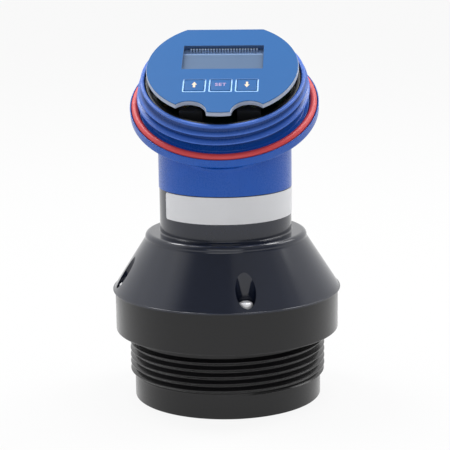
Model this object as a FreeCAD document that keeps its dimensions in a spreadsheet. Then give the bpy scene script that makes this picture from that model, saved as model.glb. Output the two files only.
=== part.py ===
import FreeCAD, Part
import os
import re

import Sketcher
from FreeCAD import Placement, Rotation, Vector

# Ultrasonic level transmitter, in millimetres.
# The origin is the middle of the sonic face, +Z is up and the display faces -Y.
# The head has a frame of its own: its origin lies on the neck's axis in the plane of
# the cover seal, and it is tipped forwards about X by the head tilt.

DIMENSIONS = (
    # base moulding
    ("nose_radius", 42.35, "plain nose and root of the process thread"),
    ("nose_edge", 1.0, "rounding of the nose's lower edge"),
    ("thread_start", 11.95, "height of the first thread flank"),
    ("thread_pitch", 3.175, "process thread, eight turns to the inch"),
    ("thread_turns", 5, "full turns of process thread"),
    ("thread_crest_radius", 44.3, "crest of the process thread"),
    ("thread_crest_width", 0.5, "flat on the process thread's crest"),
    ("thread_root_width", 0.5, "flat at the process thread's root"),
    ("shoulder_underside", 31.1, "height of the shoulder's lower face"),
    ("shoulder_radius", 50.7, "shoulder wall"),
    ("shoulder_edge", 0.7, "rounding of the shoulder's lower edge"),
    ("parting_height", 14.9, "joint of the base and the cone above the shoulder's lower face"),
    ("rim_wall", 1.2, "wall of the shoulder round the cone's foot"),
    ("sonic_wall", 3.2, "thickness of the sonic face"),
    ("well_radius", 36.0, "bore of the base and of the cone's foot"),
    ("base_groove_radius", 39.5, "middle of the base seal's groove"),
    # transducer
    ("matching_thickness", 4.0, "matching layer on the sonic face"),
    ("piezo_radius", 22.0, "piezo disc"),
    ("piezo_thickness", 7.0, "piezo disc"),
    ("potting_depth", 10.0, "potting above the piezo disc"),
    # cone, neck and spigot
    ("lip_underside", 4.4, "lip's lower face above the joint with the base"),
    ("lip_radius", 51.5, "lip round the foot of the cone"),
    ("lip_height", 0.9, "upright edge of the lip"),
    ("ledge_height", 24.7, "flat ledge above the lip"),
    ("ledge_radius", 36.4, "top edge of the cone"),
    ("ledge_edge", 1.4, "rounding of the cone's top edge"),
    ("neck_radius", 29.6, "black neck"),
    ("neck_fillet", 2.0, "fillet between the ledge and the neck"),
    ("neck_top", 0.4, "joint of the black and the blue neck above the label"),
    ("spigot_radius", 26.6, "spigot inside the blue neck"),
    ("spigot_length", 9.0, "spigot above the joint"),
    ("spigot_bore", 22.5, "bore of the neck and the spigot"),
    ("cavity_foot", 14.0, "cavity above the joint with the base, where it starts to narrow"),
    ("cavity_top", 4.0, "cavity below the ledge, where it meets the bore"),
    ("neck_groove_height", 5.0, "middle of the neck seal above the joint"),
    # cone screws and their counterbores
    ("screw_count", 4, "cone screws"),
    ("screw_circle", 46.3, "radius of the circle of cone screws"),
    ("screw_phase", 14.0, "angle of the first cone screw from +X"),
    ("counterbore_radius", 4.45, "counterbore in the cone"),
    ("screw_seat", 0.8, "floor of a counterbore above the lip's lower face"),
    ("screw_head_radius", 3.0, "head of a cone screw"),
    ("screw_head_height", 2.4, "head of a cone screw"),
    ("screw_socket_radius", 1.5, "drive recess of a cone screw"),
    ("screw_socket_depth", 1.3, "drive recess of a cone screw"),
    ("screw_radius", 1.75, "shank of a cone screw"),
    ("screw_reach", 10.0, "shank below the parting face"),
    # label
    ("label_bottom", 7.9, "lower edge of the label above the ledge"),
    ("label_height", 11.9, "width of the label"),
    ("label_sweep", 180.0, "angle that the label covers"),
    ("label_start", -147.7, "angle of the label's left end from +X"),
    ("label_thickness", 0.2, "label"),
    # head housing
    ("head_height", 37.8, "head origin above the joint of the necks"),
    ("head_tilt", 29.2, "forward tilt of the head in degrees"),
    ("blue_neck_radius", 29.8, "blue neck"),
    ("flange_radius", 42.0, "flange of the collar"),
    ("flange_underside", 2.5, "flange below the head origin"),
    ("flange_top", 0.4, "top of the flange above the head origin"),
    ("flange_fillet", 3.0, "fillet between the flange and the blue neck"),
    ("flange_edge", 0.6, "rounding of the flange's lower edge"),
    ("collar_radius", 35.8, "collar between its ribs"),
    ("rib_radius", 38.3, "lowest rib round the collar"),
    ("rim_radius", 36.3, "highest rib, at the collar's rim"),
    ("rib_start", 4.35, "first flank of the lowest rib"),
    ("rib_pitch", 3.85, "between ribs"),
    ("rib_count", 3, "ribs, the last one at the rim"),
    ("rib_width", 1.4, "flat on a rib"),
    ("rib_space", 0.75, "flat between ribs"),
    ("collar_rim", 13.5, "rim of the collar above the head origin"),
    ("collar_bore", 34.5, "bore of the collar"),
    ("cover_seal_radius", 39.65, "middle of the cover seal"),
    ("cover_seal_section", 2.6, "section of the cover seal"),
    ("cover_seal_gap", 0.5, "groove beside the cover seal"),
    # conduit inlet at the back
    ("inlet_height", 20.8, "axis of the inlet above the joint of the necks"),
    ("inlet_reach", 45.0, "face of the inlet boss from the neck's axis"),
    ("inlet_boss_radius", 14.5, "inlet boss"),
    ("inlet_bore", 9.9, "inlet bore, half-inch pipe thread"),
    ("inlet_fillet", 2.0, "fillet between the boss and the neck"),
    # cup in the collar
    ("cup_wall", 1.8, "wall of the cup"),
    ("cup_floor", 2.0, "floor of the cup"),
    ("cup_rim", 12.6, "rim of the cup above the head origin"),
    ("cup_opening", 9.0, "wire opening in the cup's floor"),
    ("cup_screw_offset", 28.9, "cup screws from the head's axis"),
    ("cup_screw_radius", 1.1, "shank of a cup screw"),
    ("cup_screw_reach", 2.8, "cup screw below the ledge"),
    ("cup_screw_head_radius", 2.1, "head of a cup screw"),
    ("cup_screw_head_height", 1.5, "head of a cup screw"),
    # boards and pillars
    ("board_thickness", 1.6, "circuit boards"),
    ("main_board_radius", 32.0, "main board"),
    ("main_board_gap", 2.6, "main board above the cup's floor"),
    ("display_board_radius", 31.0, "display board"),
    ("display_board_front", 17.6, "front edge of the display board"),
    ("pillar_radius", 2.4, "pillars"),
    ("pillar_length", 5.0, "main board to display board"),
    ("pillar_x", 25.0, "pillars to the side of the head's axis"),
    ("pillar_front", 9.0, "front pillars before the head's axis"),
    ("pillar_back", 12.0, "back pillars behind the head's axis"),
    ("stud_radius", 1.2, "studs at the ends of a pillar"),
    ("stud_reach", 2.6, "studs beyond the boards"),
    # parts on the main board
    ("connector_width", 10.0, "lead connector"),
    ("connector_depth", 6.0, "lead connector"),
    ("connector_height", 4.2, "lead connector"),
    ("lead_radius", 1.6, "transducer lead"),
    ("lead_bend", 20.0, "bend of the transducer lead"),
    ("lead_tail", 10.0, "lead between its bend's corner and the connector"),
    ("transformer_radius", 6.0, "drive transformer"),
    ("transformer_height", 4.4, "drive transformer"),
    ("transformer_x", 13.0, "drive transformer"),
    ("transformer_y", 9.0, "drive transformer"),
    ("capacitor_radius", 2.5, "drive capacitors"),
    ("capacitor_height", 4.6, "drive capacitors"),
    ("capacitor_x", 8.0, "first drive capacitor"),
    ("capacitor_y", 15.0, "drive capacitors"),
    ("capacitor_pitch", 7.0, "between the drive capacitors"),
    ("chip_side", 10.0, "control chip"),
    ("chip_height", 1.6, "control chip"),
    ("chip_x", 8.0, "control chip"),
    ("chip_y", 2.0, "control chip"),
    # terminals
    ("terminal_width", 10.0, "terminal block"),
    ("terminal_depth", 8.4, "terminal block"),
    ("terminal_height", 8.2, "terminal block"),
    ("terminal_x", 12.4, "terminal blocks from the middle"),
    ("terminal_y", 22.4, "terminal blocks before the head's axis"),
    ("terminal_pitch", 5.0, "between the screws of a block"),
    ("terminal_screw_radius", 1.6, "terminal screw"),
    ("terminal_screw_depth", 5.0, "terminal screw below the block's top"),
    ("terminal_screw_sink", 0.6, "terminal screw's head below the block's top"),
    # face plate, film and window
    ("plate_radius", 33.0, "face plate"),
    ("plate_thickness", 1.8, "face plate"),
    ("plate_chord", 28.4, "straight back edge from the head's axis"),
    ("plate_corner", 4.0, "rounding where the back edge meets the circle"),
    ("plate_leg", 3.9, "legs between the display board and the plate"),
    ("plate_leg_radius", 2.4, "legs under the plate"),
    ("notch_radius", 7.6, "front notches"),
    ("notch_x", 12.9, "front notches from the middle"),
    ("notch_y", 32.9, "front notches before the head's axis"),
    ("film_thickness", 0.25, "film on the plate"),
    ("film_margin", 0.25, "film inside the edge of the plate"),
    ("window_width", 35.4, "display window"),
    ("window_height", 17.5, "display window"),
    ("window_y", 7.0, "middle of the window behind the head's axis"),
    # display
    ("glass_thickness", 0.8, "each glass of the display"),
    ("glass_width", 39.0, "display glass"),
    ("glass_height", 22.0, "lower glass of the display"),
    ("glass_ledge", 5.7, "contact ledge beyond the upper glass"),
    ("holder_rim", 2.2, "wall of the holder round the glass"),
    ("holder_step", 2.5, "step under the glass"),
    ("holder_floor", 2.15, "height of the step"),
    ("contact_count", 24, "display contacts"),
    ("contact_pitch", 1.27, "between display contacts"),
    ("contact_width", 0.7, "display contact"),
    ("contact_length", 1.0, "display contact"),
    ("contact_height", 1.7, "display contact"),
    ("contact_inset", 3.0, "contacts from the glass's back edge"),
    # keys
    ("key_width", 8.4, "key cap"),
    ("key_height", 7.9, "key cap"),
    ("key_pitch", 11.35, "between keys"),
    ("key_y", 14.1, "keys before the head's axis"),
    ("key_gap", 0.15, "clearance round a key cap"),
    ("key_proud", 0.15, "key cap above the film"),
    ("key_flange", 1.0, "thickness of a key's retaining flange"),
    ("key_flange_overlap", 0.9, "flange beyond the cap, front and back"),
    ("key_travel", 0.5, "travel of a key"),
    ("switch_side", 6.0, "key switch"),
    ("switch_height", 1.6, "key switch"),
    ("plunger_radius", 1.5, "plunger of a key switch"),
    ("plunger_clearance", 0.1, "plunger below a key that is pressed home"),
    # fits
    ("seal_section", 1.8, "section of the hidden seal rings"),
    ("seal_play", 0.05, "seal rings in their grooves"),
    ("fit_gap", 0.1, "round pieces in their seats"),
    ("cup_play", 0.3, "cup in the collar's bore"),
    ("label_play", 0.02, "label on the neck"),
)

doc = FreeCAD.newDocument("LevelTransmitter")
sheet = doc.addObject("Spreadsheet::Sheet", "Sizes")
for row, (alias, number, note) in enumerate(DIMENSIONS, start=1):
    sheet.set(f"A{row}", note)
    sheet.set(f"B{row}", str(number))
    sheet.setAlias(f"B{row}", alias)
doc.recompute()
ALIASES = {alias for alias, number, note in DIMENSIONS}


def cells(text):
    """The expression with each alias in it turned into a reference to its cell."""
    return re.sub(r"[a-z_]+", lambda word: prefixed(word.group()), text)


def prefixed(word):
    return f"Sizes.{word}" if word in ALIASES else word


def value(text):
    """The number that an expression in aliases gives now."""
    return float(sheet.evalExpression(cells(text)))


# Heights that several pieces share, above the sonic face.
PARTING = "(shoulder_underside + parting_height)"
LIP = f"({PARTING} + lip_underside)"
SCREW_SEAT = f"({LIP} + screw_seat)"
LEDGE = f"({LIP} + lip_height + ledge_height)"
LABEL = f"({LEDGE} + label_bottom)"
LABEL_TOP = f"({LABEL} + label_height)"
NECK_TOP = f"({LABEL_TOP} + neck_top)"
NECK_SEAL = f"({NECK_TOP} + neck_groove_height)"
HEAD = f"({NECK_TOP} + head_height)"
INLET = f"({NECK_TOP} + inlet_height)"
RIM_BORE = "(shoulder_radius - rim_wall)"

# Heights above the head origin, and sizes that follow from others.
MAIN_BOARD = "(cup_floor + main_board_gap)"
MAIN_BOARD_TOP = f"({MAIN_BOARD} + board_thickness)"
DISPLAY_BOARD = f"({MAIN_BOARD_TOP} + pillar_length)"
DISPLAY_BOARD_TOP = f"({DISPLAY_BOARD} + board_thickness)"
PLATE = f"({DISPLAY_BOARD_TOP} + plate_leg)"
PLATE_TOP = f"({PLATE} + plate_thickness)"
FILM_TOP = f"({PLATE_TOP} + film_thickness)"
GLASS = f"({DISPLAY_BOARD_TOP} + holder_floor)"
LEDGE_GLASS_TOP = f"({GLASS} + glass_thickness)"
CUP_RADIUS = "(collar_bore - cup_play)"
PIEZO = "(sonic_wall + matching_thickness)"
PIEZO_TOP = f"({PIEZO} + piezo_thickness)"
POTTING_TOP = f"({PIEZO_TOP} + potting_depth)"
WELL_FILL = "(well_radius - fit_gap)"
SEAL_SEAT = "(seal_section + 2 * seal_play)"
THREAD_FLANK = "((thread_pitch - thread_crest_width - thread_root_width) / 2)"
RIB_FLANK = "((rib_pitch - rib_width - rib_space) / 2)"
BLUE_BORE = "(spigot_radius + fit_gap)"
NECK_REACH = "(head_height + blue_neck_radius * tan(head_tilt))"
COVER_GROOVE = "(cover_seal_section / 2 + cover_seal_gap)"
PILLARS = [
    ("pillar_x", "pillar_back"),
    ("-pillar_x", "pillar_back"),
    ("pillar_x", "-pillar_front"),
    ("-pillar_x", "-pillar_front"),
]
KEY_OPENING_WIDTH = "(key_width + 2 * key_gap)"
KEY_OPENING_HEIGHT = "(key_height + 2 * key_gap)"
KEYS = {"key_up": "-key_pitch", "key_set": "0", "key_down": "key_pitch"}
TERMINALS = ("-terminal_x", "terminal_x")
CUP_SCREWS = ("-cup_screw_offset", "cup_screw_offset")


def new_body(label, in_head=False):
    """A body, standing in the base's frame or in the head's tilted frame."""
    body = doc.addObject("PartDesign::Body", label)
    body.Label = label
    if in_head:
        body.Placement = Placement(Vector(0, 0, 1), Rotation(Vector(1, 0, 0), 1))
        body.setExpression("Placement.Base.z", cells(HEAD))
        body.setExpression("Placement.Rotation.Angle", cells("head_tilt"))
    return body


def new_sketch(body, plane, name, height="0"):
    """A sketch on one of the body's origin planes, raised along the plane's normal."""
    sketch = body.newObject("Sketcher::SketchObject", name)
    origin = {feature.Role: feature for feature in body.Origin.OriginFeatures}
    sketch.AttachmentSupport = (origin[plane], [""])
    sketch.MapMode = "FlatFace"
    sketch.setExpression("AttachmentOffset.Base.z", cells(height))
    return sketch


def tip_sketch(sketch, axis, shift):
    """Turns a sketch of the housing's body into the head's frame."""
    sketch.AttachmentOffset = Placement(Vector(0, 0, 0), Rotation(axis, 1))
    sketch.setExpression("AttachmentOffset.Base.z", None)
    sketch.setExpression(f"AttachmentOffset.Base.{shift}", cells(HEAD))
    sketch.setExpression("AttachmentOffset.Rotation.Angle", cells("head_tilt"))


def hold(sketch, kind, where, text):
    """A dimension of the sketch, bound to an expression."""
    index = sketch.addConstraint(Sketcher.Constraint(kind, *where, value(text)))
    sketch.setExpression(f"Constraints[{index}]", cells(text))


def pin_point(sketch, geometry, point, across, along):
    """Fixes one point of the sketch by its two coordinates, or on an axis."""
    for text, kind, axis in ((across, "DistanceX", -2), (along, "DistanceY", -1)):
        if text == "0":
            sketch.addConstraint(Sketcher.Constraint("PointOnObject", geometry, point, axis))
        else:
            hold(sketch, kind, (-1, 1, geometry, point), text)


def add_outline(sketch, points):
    """A closed outline of straight lines through points given as expressions."""
    corners = [Vector(value(across), value(along), 0) for across, along in points]
    ends = corners[1:] + corners[:1]
    lines = [sketch.addGeometry(Part.LineSegment(*pair), False) for pair in zip(corners, ends)]
    for line, following in zip(lines, lines[1:] + lines[:1]):
        sketch.addConstraint(Sketcher.Constraint("Coincident", line, 2, following, 1))
    for line, (across, along) in zip(lines, points):
        pin_point(sketch, line, 1, across, along)


def add_rectangle(sketch, across, along, width, depth):
    """A rectangle about a middle point."""
    left = f"({across} - {width} / 2)"
    right = f"({across} + {width} / 2)"
    front = f"({along} - {depth} / 2)"
    back = f"({along} + {depth} / 2)"
    add_outline(sketch, [(left, front), (right, front), (right, back), (left, back)])


def add_circle(sketch, across, along, radius):
    """A circle about a point."""
    middle = Vector(value(across), value(along), 0)
    shape = Part.Circle(middle, Vector(0, 0, 1), value(radius))
    circle = sketch.addGeometry(shape, False)
    pin_point(sketch, circle, 3, across, along)
    hold(sketch, "Radius", (circle,), radius)


def turn(body, name, points, sketch=None, cut=False, sweep="360"):
    """A solid or a cut of revolution about the upright axis of its sketch."""
    if sketch is None:
        sketch = new_sketch(body, "XZ_Plane", f"{name}_profile")
    add_outline(sketch, points)
    kind = "PartDesign::Groove" if cut else "PartDesign::Revolution"
    feature = body.newObject(kind, name)
    feature.Profile = sketch
    feature.ReferenceAxis = (sketch, ["V_Axis"])
    feature.setExpression("Angle", cells(sweep))
    doc.recompute()
    return feature


def pad(body, name, sketch, length, reverse=False):
    """A straight raised piece on a sketch."""
    feature = body.newObject("PartDesign::Pad", name)
    feature.Profile = sketch
    feature.Reversed = reverse
    feature.setExpression("Length", cells(length))
    doc.recompute()
    return feature


def pocket(body, name, sketch, depth, reverse=False):
    """A straight cut below a sketch, which has to take material away."""
    before = body.Shape.Volume
    feature = body.newObject("PartDesign::Pocket", name)
    feature.Profile = sketch
    feature.Reversed = reverse
    feature.setExpression("Length", cells(depth))
    doc.recompute()
    if body.Shape.Volume >= before:
        raise RuntimeError(f"{name} cuts nothing")
    return feature


def round_edges(body, name, radius, chosen):
    """A fillet on the edges of the body's last feature that the test chooses."""
    base = body.Tip
    names = [f"Edge{i}" for i, edge in enumerate(base.Shape.Edges, start=1) if chosen(edge)]
    if not names:
        raise RuntimeError(f"{name} finds no edge")
    feature = body.newObject("PartDesign::Fillet", name)
    feature.Base = (base, names)
    feature.setExpression("Radius", cells(radius))
    doc.recompute()
    return feature


def is_circle_at(radius, height):
    """A test for a full circle of a radius at a height."""
    near = 1e-4

    def test(edge):
        curve = edge.Curve
        if not isinstance(curve, Part.Circle):
            return False
        return abs(curve.Radius - value(radius)) < near and abs(curve.Center.z - value(height)) < near

    return test


def polar(count, circle, phase):
    """Points evenly spaced round a circle, as expressions."""
    turns = int(value(count))
    angles = [f"({phase} + {i} * 360 / {count})" for i in range(turns)]
    return [(f"{circle} * cos({angle})", f"{circle} * sin({angle})") for angle in angles]


def ridges(start, pitch, turns, flank, crest_width, root, crest, last_crest):
    """Corners of a row of ridges, from the first flank upwards, with crests that lean evenly to the last."""
    points = []
    for i in range(int(value(turns))):
        foot = f"({start} + {i} * {pitch})"
        top = f"({crest} + ({last_crest} - {crest}) * {i} / max(1; {turns} - 1))"
        points.append((root, foot))
        points.append((top, f"{foot} + {flank}"))
        points.append((top, f"{foot} + {flank} + {crest_width}"))
        points.append((root, f"{foot} + 2 * {flank} + {crest_width}"))
    return points


def make_threaded_base():
    body = new_body("threaded_base")
    groove_out = f"(base_groove_radius + {SEAL_SEAT} / 2)"
    groove_in = f"(base_groove_radius - {SEAL_SEAT} / 2)"
    groove_floor = f"({PARTING} - {SEAL_SEAT})"
    thread = ridges("thread_start", "thread_pitch", "thread_turns", THREAD_FLANK,
                    "thread_crest_width", "nose_radius", "thread_crest_radius", "thread_crest_radius")
    outline = [("0", "0"), ("nose_radius", "0")] + thread + [
        ("nose_radius", "shoulder_underside"),
        ("shoulder_radius", "shoulder_underside"),
        ("shoulder_radius", LIP),
        (RIM_BORE, LIP),
        (RIM_BORE, PARTING),
        (groove_out, PARTING),
        (groove_out, groove_floor),
        (groove_in, groove_floor),
        (groove_in, PARTING),
        ("well_radius", PARTING),
        ("well_radius", "sonic_wall"),
        ("0", "sonic_wall"),
    ]
    turn(body, "base_turning", outline)
    round_edges(body, "nose_rounding", "nose_edge", is_circle_at("nose_radius", "0"))
    lower_edge = is_circle_at("shoulder_radius", "shoulder_underside")
    round_edges(body, "shoulder_rounding", "shoulder_edge", lower_edge)
    sketch = new_sketch(body, "XY_Plane", "screw_hole_circles", PARTING)
    for across, along in polar("screw_count", "screw_circle", "screw_phase"):
        add_circle(sketch, across, along, "(screw_radius + fit_gap)")
    pocket(body, "screw_holes", sketch, "screw_reach + fit_gap")
    return body


def make_disc(label, radius, bottom, top, hole=None):
    """A plain disc or ring about the base's axis, between two heights."""
    body = new_body(label)
    inner = hole or "0"
    turn(body, f"{label}_turning", [(inner, bottom), (radius, bottom), (radius, top), (inner, top)])
    return body


def make_seal_ring(label, radius, height, section, in_head=False):
    """A ring of round section about an upright axis."""
    body = new_body(label, in_head)
    sketch = new_sketch(body, "XZ_Plane", f"{label}_section")
    add_circle(sketch, radius, height, f"({section} / 2)")
    feature = body.newObject("PartDesign::Revolution", f"{label}_turning")
    feature.Profile = sketch
    feature.ReferenceAxis = (sketch, ["V_Axis"])
    doc.recompute()
    return body


def make_cone_body():
    body = new_body("cone_body")
    groove_floor = f"({BLUE_BORE} - {SEAL_SEAT})"
    foot = f"({RIM_BORE} - fit_gap)"
    outline = [
        ("well_radius", PARTING),
        (foot, PARTING),
        (foot, LIP),
        ("lip_radius", LIP),
        ("lip_radius", f"{LIP} + lip_height"),
        ("ledge_radius", LEDGE),
        ("neck_radius", LEDGE),
        ("neck_radius", NECK_TOP),
        ("spigot_radius", NECK_TOP),
        ("spigot_radius", f"{NECK_SEAL} - {SEAL_SEAT} / 2"),
        (groove_floor, f"{NECK_SEAL} - {SEAL_SEAT} / 2"),
        (groove_floor, f"{NECK_SEAL} + {SEAL_SEAT} / 2"),
        ("spigot_radius", f"{NECK_SEAL} + {SEAL_SEAT} / 2"),
        ("spigot_radius", f"{NECK_TOP} + spigot_length"),
        ("spigot_bore", f"{NECK_TOP} + spigot_length"),
        ("spigot_bore", f"{LEDGE} - cavity_top"),
        ("well_radius", f"{PARTING} + cavity_foot"),
    ]
    turn(body, "cone_turning", outline)
    round_edges(body, "ledge_rounding", "ledge_edge", is_circle_at("ledge_radius", LEDGE))
    round_edges(body, "neck_rounding", "neck_fillet", is_circle_at("neck_radius", LEDGE))
    places = polar("screw_count", "screw_circle", "screw_phase")
    sketch = new_sketch(body, "XY_Plane", "counterbore_circles", LEDGE)
    for across, along in places:
        add_circle(sketch, across, along, "counterbore_radius")
    pocket(body, "counterbores", sketch, f"{LEDGE} - {SCREW_SEAT}")
    sketch = new_sketch(body, "XY_Plane", "clearance_circles", SCREW_SEAT)
    for across, along in places:
        add_circle(sketch, across, along, "(screw_radius + fit_gap)")
    pocket(body, "clearance_holes", sketch, f"{SCREW_SEAT} - {PARTING}")
    return body


def make_cone_screws():
    """Pan-head screws with a round drive recess, one in each counterbore."""
    body = new_body("cone_screws")
    places = polar("screw_count", "screw_circle", "screw_phase")
    sketch = new_sketch(body, "XY_Plane", "screw_shank_circles", SCREW_SEAT)
    for across, along in places:
        add_circle(sketch, across, along, "screw_radius")
    pad(body, "screw_shanks", sketch, f"{SCREW_SEAT} - {PARTING} + screw_reach", reverse=True)
    sketch = new_sketch(body, "XY_Plane", "screw_head_circles", SCREW_SEAT)
    for across, along in places:
        add_circle(sketch, across, along, "screw_head_radius")
    pad(body, "screw_heads", sketch, "screw_head_height")
    sketch = new_sketch(body, "XY_Plane", "screw_socket_circles", f"{SCREW_SEAT} + screw_head_height")
    for across, along in places:
        add_circle(sketch, across, along, "screw_socket_radius")
    pocket(body, "screw_sockets", sketch, "screw_socket_depth")
    return body


def make_name_label():
    """A strip bent round part of the neck."""
    body = new_body("name_label")
    inner = "(neck_radius + label_play)"
    outer = f"({inner} + label_thickness)"
    outline = [(inner, LABEL), (outer, LABEL), (outer, LABEL_TOP), (inner, LABEL_TOP)]
    turn(body, "label_turning", outline, sweep="label_sweep")
    body.Placement = Placement(Vector(0, 0, 0), Rotation(Vector(0, 0, 1), 1))
    body.setExpression("Placement.Rotation.Angle", cells("label_start"))
    return body


def make_head_housing():
    body = new_body("head_housing")
    groove_out = f"(cover_seal_radius + {COVER_GROOVE})"
    groove_in = f"(cover_seal_radius - {COVER_GROOVE})"
    groove_floor = "(-cover_seal_section / 2 - seal_play)"
    ribs = ridges("rib_start", "rib_pitch", "rib_count", RIB_FLANK,
                  "rib_width", "collar_radius", "rib_radius", "rim_radius")
    outline = [
        ("0", "-flange_underside"),
        ("flange_radius", "-flange_underside"),
        ("flange_radius", "flange_top"),
        (groove_out, "flange_top"),
        (groove_out, groove_floor),
        (groove_in, groove_floor),
        (groove_in, "flange_top"),
        ("collar_radius", "flange_top"),
    ] + ribs[:-2] + [("rim_radius", "collar_rim"), ("0", "collar_rim")]
    sketch = new_sketch(body, "YZ_Plane", "collar_profile")
    tip_sketch(sketch, Vector(0, 0, 1), "y")
    turn(body, "collar_turning", outline, sketch)
    sketch = new_sketch(body, "XY_Plane", "neck_circle", NECK_TOP)
    add_circle(sketch, "0", "0", "blue_neck_radius")
    pad(body, "neck_post", sketch, NECK_REACH)
    sketch = new_sketch(body, "XZ_Plane", "inlet_circle")
    add_circle(sketch, "0", INLET, "inlet_boss_radius")
    pad(body, "inlet_boss", sketch, "inlet_reach", reverse=True)
    round_flange(body)
    round_inlet(body)
    sketch = new_sketch(body, "YZ_Plane", "collar_bore_profile")
    tip_sketch(sketch, Vector(0, 0, 1), "y")
    above = "(collar_rim + collar_bore)"
    hollow = [("0", "0"), ("collar_bore", "0"), ("collar_bore", above), ("0", above)]
    turn(body, "collar_hollow", hollow, sketch, cut=True)
    sketch = new_sketch(body, "XY_Plane", "neck_bore_circle", NECK_TOP)
    add_circle(sketch, "0", "0", BLUE_BORE)
    pocket(body, "neck_bore", sketch, NECK_REACH, reverse=True)
    sketch = new_sketch(body, "XZ_Plane", "inlet_bore_circle")
    add_circle(sketch, "0", INLET, "inlet_bore")
    pocket(body, "inlet_passage", sketch, "inlet_reach")
    sketch = new_sketch(body, "XY_Plane", "cup_screw_hole_circles")
    tip_sketch(sketch, Vector(1, 0, 0), "z")
    for side in CUP_SCREWS:
        add_circle(sketch, side, "0", "(cup_screw_radius + fit_gap)")
    pocket(body, "cup_screw_holes", sketch, "cup_screw_reach + fit_gap")
    return body


def head_coordinates(point):
    """A point's place in the head's frame."""
    frame = Placement(Vector(0, 0, value(HEAD)), Rotation(Vector(1, 0, 0), value("head_tilt")))
    return frame.inverse().multVec(point)


def round_flange(body):
    """Fillet where the upright neck meets the underside of the flange, and the flange's edge."""
    near = 1e-3
    underside = value("-flange_underside")

    def on_underside(edge):
        points = edge.discretize(5)
        return all(abs(head_coordinates(point).z - underside) < near for point in points)

    def meets_neck(edge):
        return on_underside(edge) and isinstance(edge.Curve, Part.Ellipse)

    def is_rim(edge):
        return on_underside(edge) and isinstance(edge.Curve, Part.Circle)

    round_edges(body, "flange_rounding", "flange_fillet", meets_neck)
    round_edges(body, "rim_rounding", "flange_edge", is_rim)


def round_inlet(body):
    """Fillet where the inlet boss meets the round neck."""
    near = 1e-3
    boss = value("inlet_boss_radius")
    height = value(INLET)
    neck = value("blue_neck_radius")

    def meets_neck(edge):
        for point in edge.discretize(5):
            off_boss = abs(Vector(point.x, 0, point.z - height).Length - boss)
            off_neck = abs(Vector(point.x, point.y, 0).Length - neck)
            if off_boss > near or off_neck > near or point.y < 0:
                return False
        return True

    round_edges(body, "inlet_rounding", "inlet_fillet", meets_neck)


def make_display_cup():
    body = new_body("display_cup", in_head=True)
    inner = f"({CUP_RADIUS} - cup_wall)"
    outline = [
        ("cup_opening", "0"),
        (CUP_RADIUS, "0"),
        (CUP_RADIUS, "cup_rim"),
        (inner, "cup_rim"),
        (inner, "cup_floor"),
        ("cup_opening", "cup_floor"),
    ]
    turn(body, "cup_turning", outline)
    sketch = new_sketch(body, "XY_Plane", "boss_circles", "cup_floor")
    for across, along in PILLARS:
        add_circle(sketch, across, along, "pillar_radius")
    pad(body, "cup_bosses", sketch, "main_board_gap")
    sketch = new_sketch(body, "XY_Plane", "boss_hole_circles", MAIN_BOARD)
    for across, along in PILLARS:
        add_circle(sketch, across, along, "(stud_radius + fit_gap)")
    pocket(body, "boss_holes", sketch, "stud_reach + fit_gap")
    sketch = new_sketch(body, "XY_Plane", "cup_hole_circles", "cup_floor")
    for side in CUP_SCREWS:
        add_circle(sketch, side, "0", "(cup_screw_radius + fit_gap)")
    pocket(body, "cup_holes", sketch, "cup_floor")
    return body


def make_cup_screws():
    body = new_body("cup_screws", in_head=True)
    sketch = new_sketch(body, "XY_Plane", "cup_shank_circles", "cup_floor")
    for side in CUP_SCREWS:
        add_circle(sketch, side, "0", "cup_screw_radius")
    pad(body, "cup_shanks", sketch, "cup_floor + cup_screw_reach", reverse=True)
    sketch = new_sketch(body, "XY_Plane", "cup_head_circles", "cup_floor")
    for side in CUP_SCREWS:
        add_circle(sketch, side, "0", "cup_screw_head_radius")
    pad(body, "cup_heads", sketch, "cup_screw_head_height")
    return body


def make_main_board():
    body = new_body("main_board", in_head=True)
    sketch = new_sketch(body, "XY_Plane", "main_board_outline", MAIN_BOARD)
    add_circle(sketch, "0", "0", "main_board_radius")
    for across, along in PILLARS:
        add_circle(sketch, across, along, "(stud_radius + fit_gap)")
    pad(body, "main_board_sheet", sketch, "board_thickness")
    return body


def make_display_board():
    """A round board cut straight across in front of the key switches."""
    body = new_body("display_board", in_head=True)
    sketch = new_sketch(body, "XY_Plane", "display_board_outline", DISPLAY_BOARD)
    add_circle(sketch, "0", "0", "display_board_radius")
    for across, along in PILLARS:
        add_circle(sketch, across, along, "(stud_radius + fit_gap)")
    pad(body, "display_board_sheet", sketch, "board_thickness")
    sketch = new_sketch(body, "XY_Plane", "front_cut_outline", DISPLAY_BOARD_TOP)
    middle = "(-display_board_front - display_board_radius)"
    add_rectangle(sketch, "0", middle, "2 * display_board_radius", "2 * display_board_radius")
    pocket(body, "front_cut", sketch, "board_thickness")
    return body


def make_board_pillars():
    """Pillars with a stud at each end."""
    body = new_body("board_pillars", in_head=True)
    spans = (
        ("pillar_posts", "pillar_radius", MAIN_BOARD_TOP, "pillar_length"),
        ("lower_studs", "stud_radius", f"{MAIN_BOARD} - stud_reach", "stud_reach + board_thickness"),
        ("upper_studs", "stud_radius", DISPLAY_BOARD, "stud_reach + board_thickness"),
    )
    for name, radius, bottom, length in spans:
        sketch = new_sketch(body, "XY_Plane", f"{name}_circles", bottom)
        for across, along in PILLARS:
            add_circle(sketch, across, along, radius)
        pad(body, name, sketch, length)
    return body


def make_block(label, across, along, width, depth, bottom, height, reverse=False):
    """A rectangular piece on a board in the head."""
    body = new_body(label, in_head=True)
    sketch = new_sketch(body, "XY_Plane", f"{label}_outline", bottom)
    add_rectangle(sketch, across, along, width, depth)
    pad(body, f"{label}_block", sketch, height, reverse)
    return body


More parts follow.
